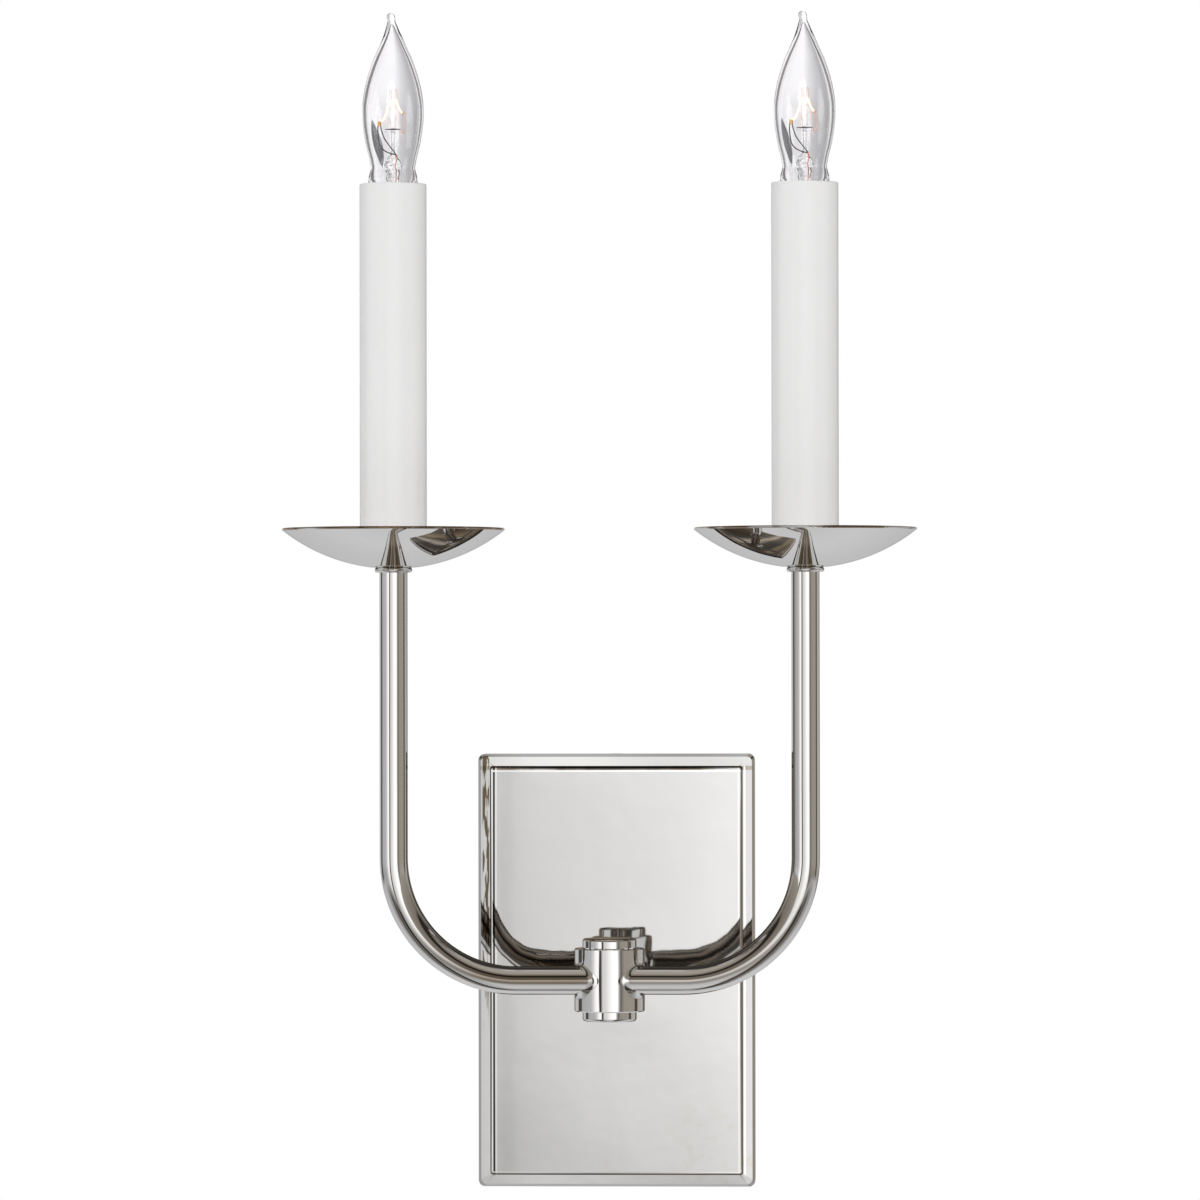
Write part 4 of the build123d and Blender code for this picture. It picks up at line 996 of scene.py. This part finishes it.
class SCONCE_OT_stage(bpy.types.Operator):
    """Lay the pale floor, light the room and set the camera"""

    bl_idname = "sconce.stage"
    bl_label = "Floor, light and camera"

    def execute(self, context):
        studio = context.scene.sconce_studio
        context.scene.view_settings.view_transform = "Standard"
        self.floor(cad_box[0].z - studio.floor_drop)
        self.room(context.scene, studio.room_light)
        self.graded_cards()
        self.lamps(studio.lamp_power)
        self.camera(context.scene, studio)
        return {"FINISHED"}

    def staged(self, name, points, material, hidden_from, place=(0.0, 0.0, 0.0)):
        """Add a flat stage object with one face, which some rays don't see."""
        mesh = bpy.data.meshes.new(name)
        mesh.from_pydata(points, [], [list(range(len(points)))])
        mesh.materials.append(material)
        made = bpy.data.objects.new(name, mesh)
        made.location = place
        for rays in hidden_from:
            setattr(made, f"visible_{rays}", False)
        bpy.context.scene.collection.objects.link(made)

    def floor(self, height):
        """A pale disc whose edge melts into the white room, and which is clear from below."""
        radius, segments = 1.3, 96
        turns = [FULL_TURN * index / segments for index in range(segments)]
        pale, net, shader = plain_material("pale_floor")
        cloud = net.group("Cloudy tone", Scale=3.0, Colour_A=with_alpha(WHITE, 0.9),
                          Colour_B=with_alpha(WHITE, 0.93))
        net.link(cloud["Color"], shader.inputs["Base Color"])
        set_inputs(shader, Roughness=0.8)
        place = net.add("TexCoord").outputs["Object"]
        distance = net.add("VectorMath", {0: place}, operation="LENGTH").outputs["Value"]
        edge = net.step(distance, 0.55 * radius, 0.98 * radius)
        edge = net.math("MAXIMUM", edge, net.add("NewGeometry").outputs["Backfacing"])
        clear = net.add("BsdfTransparent")
        mixed = net.add("MixShader", {0: edge, 1: shader.outputs[0], 2: clear.outputs[0]})
        net.link(mixed.outputs[0], net.tree.nodes["Material Output"].inputs["Surface"])
        rim = [(radius * math.cos(turn), radius * math.sin(turn), height) for turn in turns]
        self.staged("floor", rim, pale, ["glossy"])

    def room(self, scene, room_light):
        """White for the camera, even light for matt surfaces, and dark and pale cards for polished ones."""
        world = bpy.data.worlds.new("studio")
        world.use_nodes = True
        scene.world = world
        net = Net(world.node_tree)
        ray = net.add("LightPath").outputs
        parts = net.split(net.add("TexCoord").outputs["Generated"])
        deep_share, first_bounce, one_mirror = 0.93, 0.5, 1.5
        second = net.math("GREATER_THAN", ray["Glossy Depth"], one_mirror)
        cards = net.mix(net.times(second, deep_share), self.cards(net, parts), self.deep_room(net, parts))
        thrown = net.math("GREATER_THAN", ray["Diffuse Depth"], first_bounce)
        mirrored = net.mix(thrown, cards, (1.0, 0.99, 0.97, 1.0))
        colour = net.mix(ray["Is Glossy Ray"], with_alpha(WHITE, room_light), mirrored)
        colour = net.mix(ray["Is Transmission Ray"], colour, self.seen_through_glass(net, parts))
        colour = net.mix(ray["Is Camera Ray"], colour, with_alpha(WHITE))
        net.link(colour, net.tree.nodes["Background"].inputs["Color"])

    def bearing(self, net, parts, sign=1):
        """A direction's bearing, once round from 0 to 1, with +Y in the middle, or -Y where sign is -1."""
        y = parts["Y"] if sign > 0 else net.times(parts["Y"], -1.0)
        return net.math("MULTIPLY_ADD", net.math("ARCTAN2", parts["X"], y), 0.5 / math.pi, 0.5)

    def rise(self, net, parts):
        """A direction's angle above eye level, in radians and from 0 to 1."""
        level = net.math("ARCSINE", parts["Z"])
        return level, net.math("MULTIPLY_ADD", level, 1 / math.pi, 0.5)

    def shades(self, stops, span, tint=WHITE):
        """Ramp stops from (angle, brightness) or (angle, brightness, tint)."""
        return [(0.5 + angle / span, with_alpha(own[0] if own else tint, grey))
                for angle, grey, *own in stops]

    def deep_room(self, net, parts):
        """The room after a second mirror: brown dark with a few pale streaks."""
        brown, gold, pale = (1.0, 0.85, 0.7), (1.0, 0.72, 0.42), WHITE
        stops = [(-180, 0.03, brown), (-175, 0.35, gold), (-171, 0.02, brown), (-163, 0.08, gold),
                 (-158, 0.85, brown), (-154, 0.03, brown), (-125, 0.2, gold), (-117, 0.03, brown),
                 (-108, 0.95, pale), (-62, 0.95, pale), (-55, 0.03, brown), (-20, 0.12, brown),
                 (0, 0.3, brown), (20, 0.04, brown), (55, 0.03, brown), (62, 0.95, pale),
                 (108, 0.95, pale), (117, 0.03, brown), (125, 0.2, gold), (148, 0.04, brown),
                 (157, 0.4, gold), (163, 0.03, brown), (169, 0.75, brown), (173, 0.03, brown),
                 (180, 0.03, brown)]
        rows = [(-90, 0.1), (-62, 0.5), (-54, 0.08), (-30, 0.02), (-12, 0.1), (-4, 0.2), (2, 0.75),
                (6, 0.12), (20, 0.03), (34, 0.01), (44, 0.12), (60, 0.22), (72, 0.3), (78, 0.02),
                (90, 0.05)]
        level, height = self.rise(net, parts)
        round_it = net.ramp(self.bearing(net, parts), self.shades(stops, 360))
        up_it = net.ramp(height, self.shades(rows, 180, brown))
        steep = net.step(net.math("ABSOLUTE", level), math.radians(10), math.radians(22))
        downward = net.step(level, math.radians(-12), math.radians(-24))
        return net.mix(net.times(downward, 0.75), net.mix(steep, round_it, up_it), round_it)

    def seen_through_glass(self, net, parts):
        """The backdrop as thick glass bends it: white straight behind and dark to the sides."""
        stops = [(-180, 0.5), (-70, 0.1), (-36, 0.2), (-26, 0.4), (-18, 1.0), (18, 1.0), (26, 0.4),
                 (36, 0.2), (70, 0.1), (180, 0.5)]
        tones = [(0.5 + a / 360, (v, v, min(1.0, 1.03 * v), 1.0)) for a, v in stops]
        return net.ramp(self.bearing(net, parts), tones)

    def graded_cards(self):
        """A card close behind each bulb that only its glass shows, pale at left and greyer at right."""
        shade = self.card_shade()
        half_width, half_height, middle, behind = 40 * MM, 75 * MM, 310 * MM, 25 * MM
        corners = [(across * half_width, 0.0, up * half_height)
                   for across, up in ((-1, -1), (1, -1), (1, 1), (-1, 1))]
        hidden_from = ("camera", "diffuse", "glossy", "shadow", "volume_scatter")
        for side in SIDES:
            x, y = arm_axis(side)
            self.staged(f"graded_card_{side}", corners, shade, hidden_from, (x, y + behind, middle))

    def card_shade(self):
        """The card's tones by place: darker to the right and below, with a dark streak low on the left."""
        made = bpy.data.materials.new("graded_card")
        made.use_nodes = True
        net = Net(made.node_tree)
        place = net.place()
        x, z = place["X"], place["Z"]
        card_width = 80
        share = net.math("MULTIPLY_ADD", x, 1 / (card_width * MM), 0.5)
        low = [(-40, 0.2), (-24, 0.2), (-19, 1.0), (-13, 1.0), (-9, 0.78), (-1, 0.76), (1.5, 0.62),
               (5, 0.5), (10, 0.43), (14, 0.43), (16, 1.0), (20, 1.0), (24, 0.2), (40, 0.2)]
        high = [(-40, 0.2), (-24, 0.2), (-20, 1.0), (-4, 1.0), (-1, 0.98), (2, 0.76), (5, 0.62), (10, 0.48),
                (14, 0.48), (16, 1.0), (20, 1.0), (24, 0.2), (40, 0.2)]

        def tones(stops):
            return net.ramp(share, [(0.5 + x_mm / card_width, (v, 0.985 * v, min(1.0, 1.01 * v), 1.0))
                                    for x_mm, v in stops])

        base = net.mix(net.step(z, -2 * MM, 14 * MM), tones(low), tones(high))
        # The streak leans, is widest 10 mm below the card's middle and ends 9 mm above and below that
        slope, streak_x, half, least = -0.27, -12.4 * MM, 3.5 * MM, 0.01 * MM
        offset = net.math("SUBTRACT", x, net.math("MULTIPLY_ADD", z, slope, streak_x))
        sunk = net.math("MULTIPLY_ADD", z, 1 / (9 * MM), 10 / 9)
        spread = net.math("MULTIPLY_ADD", net.times(sunk, sunk), -half, half)
        reach = net.math("DIVIDE", net.math("ABSOLUTE", offset), net.math("MAXIMUM", spread, least))
        streak = net.times(net.step(reach, 1.0, 0.75), net.step(reach, -0.3, 0.1), 0.93)
        dark = net.mix(streak, base, (0.1, 0.1, 0.105, 1.0))
        glow = net.add("Emission", {"Color": dark, "Strength": 1.1})
        net.link(glow.outputs[0], net.tree.nodes["Material Output"].inputs["Surface"])
        return made

    def cards(self, net, parts):
        """What the nickel mirrors, by compass direction at eye level and by height above and below it."""
        neutral, lilac, taupe = (1.0, 0.995, 0.985), (0.985, 0.98, 1.0), (1.0, 0.90, 0.78)
        round_room = [
            (-124, 0.6, lilac), (-120, 0.08, taupe), (-104, 0.08, taupe), (-99, 0.48, lilac),
            (-62, 0.56, lilac), (-52, 0.8, neutral), (-45, 1.15, neutral), (-34, 1.25, neutral),
            (-31.5, 0.05, neutral), (-27, 0.05, neutral), (-24, 0.5, taupe), (-20, 0.84, neutral),
            (-16, 0.84, neutral), (-13.5, 0.76, neutral), (-11.4, 0.86, neutral), (-7.4, 0.93, neutral),
            (-3.7, 0.98, neutral), (-1.2, 1.07, neutral), (4, 1.17, neutral), (12, 1.27, neutral),
            (27, 1.3, neutral), (32, 0.55, neutral), (38, 0.16, taupe), (50, 0.36, taupe),
            (90, 0.38, taupe), (94, 0.07, taupe), (103, 0.07, taupe), (108, 0.48, taupe),
            (138, 0.52, neutral), (145, 0.14, taupe), (156, 0.14, taupe), (162, 0.6, lilac),
        ]
        front = [
            (-90, 0.5, lilac), (-80, 0.36, lilac), (-72, 0.36, neutral), (-64, 0.72, lilac),
            (-50, 0.66, lilac), (-28, 0.55, neutral), (-14, 0.5, neutral), (8, 0.36, taupe),
            (16, 0.3, taupe), (26, 0.25, taupe), (30, 0.03, taupe), (38, 0.03, taupe), (44, 0.3, taupe),
            (60, 0.42, taupe), (82, 0.42, taupe), (87, 0.62, lilac), (90, 0.62, lilac),
        ]
        back = [
            (-90, 0.5, lilac), (-84, 0.66, lilac), (-58, 0.72, lilac), (-15, 0.58, lilac),
            (20, 0.3, taupe), (44, 0.08, taupe), (55, 0.03, taupe), (76, 0.05, taupe), (84, 0.3, taupe),
            (88, 0.62, lilac),
        ]
        low_front = [
            (-180, 0.8, neutral), (-75, 0.7, neutral), (-64, 0.3, taupe), (-56, 0.1, taupe),
            (-50, 0.5, taupe), (-44, 0.08, taupe), (-32, 0.06, taupe), (-28, 0.9, neutral),
            (-22, 0.7, neutral), (-10, 1.0, neutral), (14, 1.0, neutral), (22, 0.85, taupe),
            (26, 0.2, taupe), (34, 0.06, taupe), (42, 0.12, taupe), (46, 0.6, taupe), (50, 0.12, taupe),
            (60, 0.4, taupe), (75, 0.7, neutral), (180, 0.8, neutral),
        ]
        fall = [(-14, 0.7), (-7.8, 0.84), (-6, 0.91), (-4.3, 1.01), (0, 1.03), (1.7, 1.07), (3, 1.17),
                (8, 1.25)]
        compass = self.bearing(net, parts, -1)
        level, height = self.rise(net, parts)
        stripes = net.ramp(compass, self.shades(low_front, 360))
        below = net.step(level, math.radians(-10), math.radians(-17))
        ahead = net.mix(below, net.ramp(height, self.shades(front, 180)), stripes, "MULTIPLY")
        behind = net.ramp(height, self.shades(back, 180))
        above_below = net.mix(net.step(parts["Y"], -0.12, 0.12), ahead, behind)
        rising = net.step(level, math.radians(4), math.radians(7))
        sinking = net.step(level, math.radians(-8.5), math.radians(-13))
        full = fall[-1][1]
        shares = self.shades([(angle, share / full) for angle, share in fall], 180)
        eye_level = net.ramp(compass, self.shades(round_room, 360))
        dimmed = net.mix(1.0, eye_level, net.ramp(height, shares), "MULTIPLY")
        shaded = net.add("VectorMath", {0: dimmed, 3: full}, operation="SCALE").outputs[0]
        return net.mix(net.math("MAXIMUM", rising, sinking), shaded, above_below)

    def lamps(self, power):
        """One large soft lamp in front and weaker ones on each side and behind."""
        for name, place, size, share in (
            ("front_lamp", (-0.15, -2.0, 0.9), 1.5, 1.0),
            ("left_lamp", (-1.6, -0.5, 0.5), 1.0, 0.2),
            ("right_lamp", (1.6, -0.7, 0.6), 1.0, 0.27),
            ("back_lamp", (0.4, 1.7, 0.7), 1.2, 0.3),
        ):
            light = bpy.data.lights.new(name, "AREA")
            light.shape = "DISK"
            light.size = size
            light.energy = power * share
            made = bpy.data.objects.new(name, light)
            made.location = place
            made.rotation_mode = "QUATERNION"
            aim = Vector((0.0, -0.05, 0.12)) - Vector(place)
            made.rotation_quaternion = aim.to_track_quat("-Z", "Y")
            made.visible_glossy = False
            bpy.context.scene.collection.objects.link(made)

    def camera(self, scene, studio):
        """A long lens in front, a little right of the middle, with the hub where the photograph has it."""
        image, sensor = 1200.0, 36.0
        hub_at = (609.0, 980.7)
        roll = math.radians(-0.08)
        eye_x, eye_z = 0.086, 0.116
        arms_y = arm_axis("left")[1]
        data = bpy.data.cameras.new("camera")
        data.lens = studio.camera_lens
        data.sensor_width = sensor
        made = bpy.data.objects.new("camera", data)
        made.location = (eye_x, arms_y - studio.camera_distance, eye_z)
        focal = studio.camera_lens / sensor * image
        across, down = hub_at[0] - image / 2, hub_at[1] - image / 2
        level_across = across * math.cos(roll) + down * math.sin(roll)
        level_down = down * math.cos(roll) - across * math.sin(roll)
        yaw = math.atan2(-eye_x, studio.camera_distance) - math.atan2(level_across, focal)
        pitch = math.atan2(level_down, focal) - math.atan2(eye_z, studio.camera_distance)
        gaze = Vector((math.sin(yaw) * math.cos(pitch), math.cos(yaw) * math.cos(pitch), math.sin(pitch)))
        made.rotation_mode = "QUATERNION"
        rolled = Matrix.Rotation(roll, 3, "Z").to_quaternion()
        made.rotation_quaternion = gaze.to_track_quat("-Z", "Y") @ rolled
        scene.collection.objects.link(made)
        scene.camera = made


OPERATORS = (
    SCONCE_OT_metalwork,
    SCONCE_OT_fixings,
    SCONCE_OT_sockets,
    SCONCE_OT_covers,
    SCONCE_OT_bulbs,
    SCONCE_OT_wiring,
    SCONCE_OT_stage,
)


class SCONCE_PT_panel(bpy.types.Panel):
    """Lists the sconce's pieces and their settings"""

    bl_idname = "SCONCE_PT_panel"
    bl_label = "Double Arm Wall Sconce"
    bl_space_type = "VIEW_3D"
    bl_region_type = "UI"
    bl_category = "Sconce"

    def draw(self, context):
        for operator in OPERATORS:
            self.layout.operator(operator.bl_idname)
        scene = context.scene
        for settings in (scene.sconce_finish, scene.sconce_bulb, scene.sconce_studio):
            column = self.layout.column(align=True)
            for name in settings.__annotations__:
                column.prop(settings, name)


SETTINGS = {
    "sconce_finish": SconceFinishSettings,
    "sconce_bulb": SconceBulbSettings,
    "sconce_studio": SconceStudioSettings,
}


def register():
    for group in SETTINGS.values():
        bpy.utils.register_class(group)
    for operator in OPERATORS:
        bpy.utils.register_class(operator)
    bpy.utils.register_class(SCONCE_PT_panel)
    for name, group in SETTINGS.items():
        setattr(bpy.types.Scene, name, PointerProperty(type=group))


def unregister():
    for name in SETTINGS:
        delattr(bpy.types.Scene, name)
    bpy.utils.unregister_class(SCONCE_PT_panel)
    for operator in reversed(OPERATORS):
        bpy.utils.unregister_class(operator)
    for group in SETTINGS.values():
        bpy.utils.unregister_class(group)


def main():
    """Build the whole dressed sconce."""
    register()
    for operator in OPERATORS:
        kind, name = operator.bl_idname.split(".")
        getattr(getattr(bpy.ops, kind), name)()


if __name__ == "__main__":
    main()
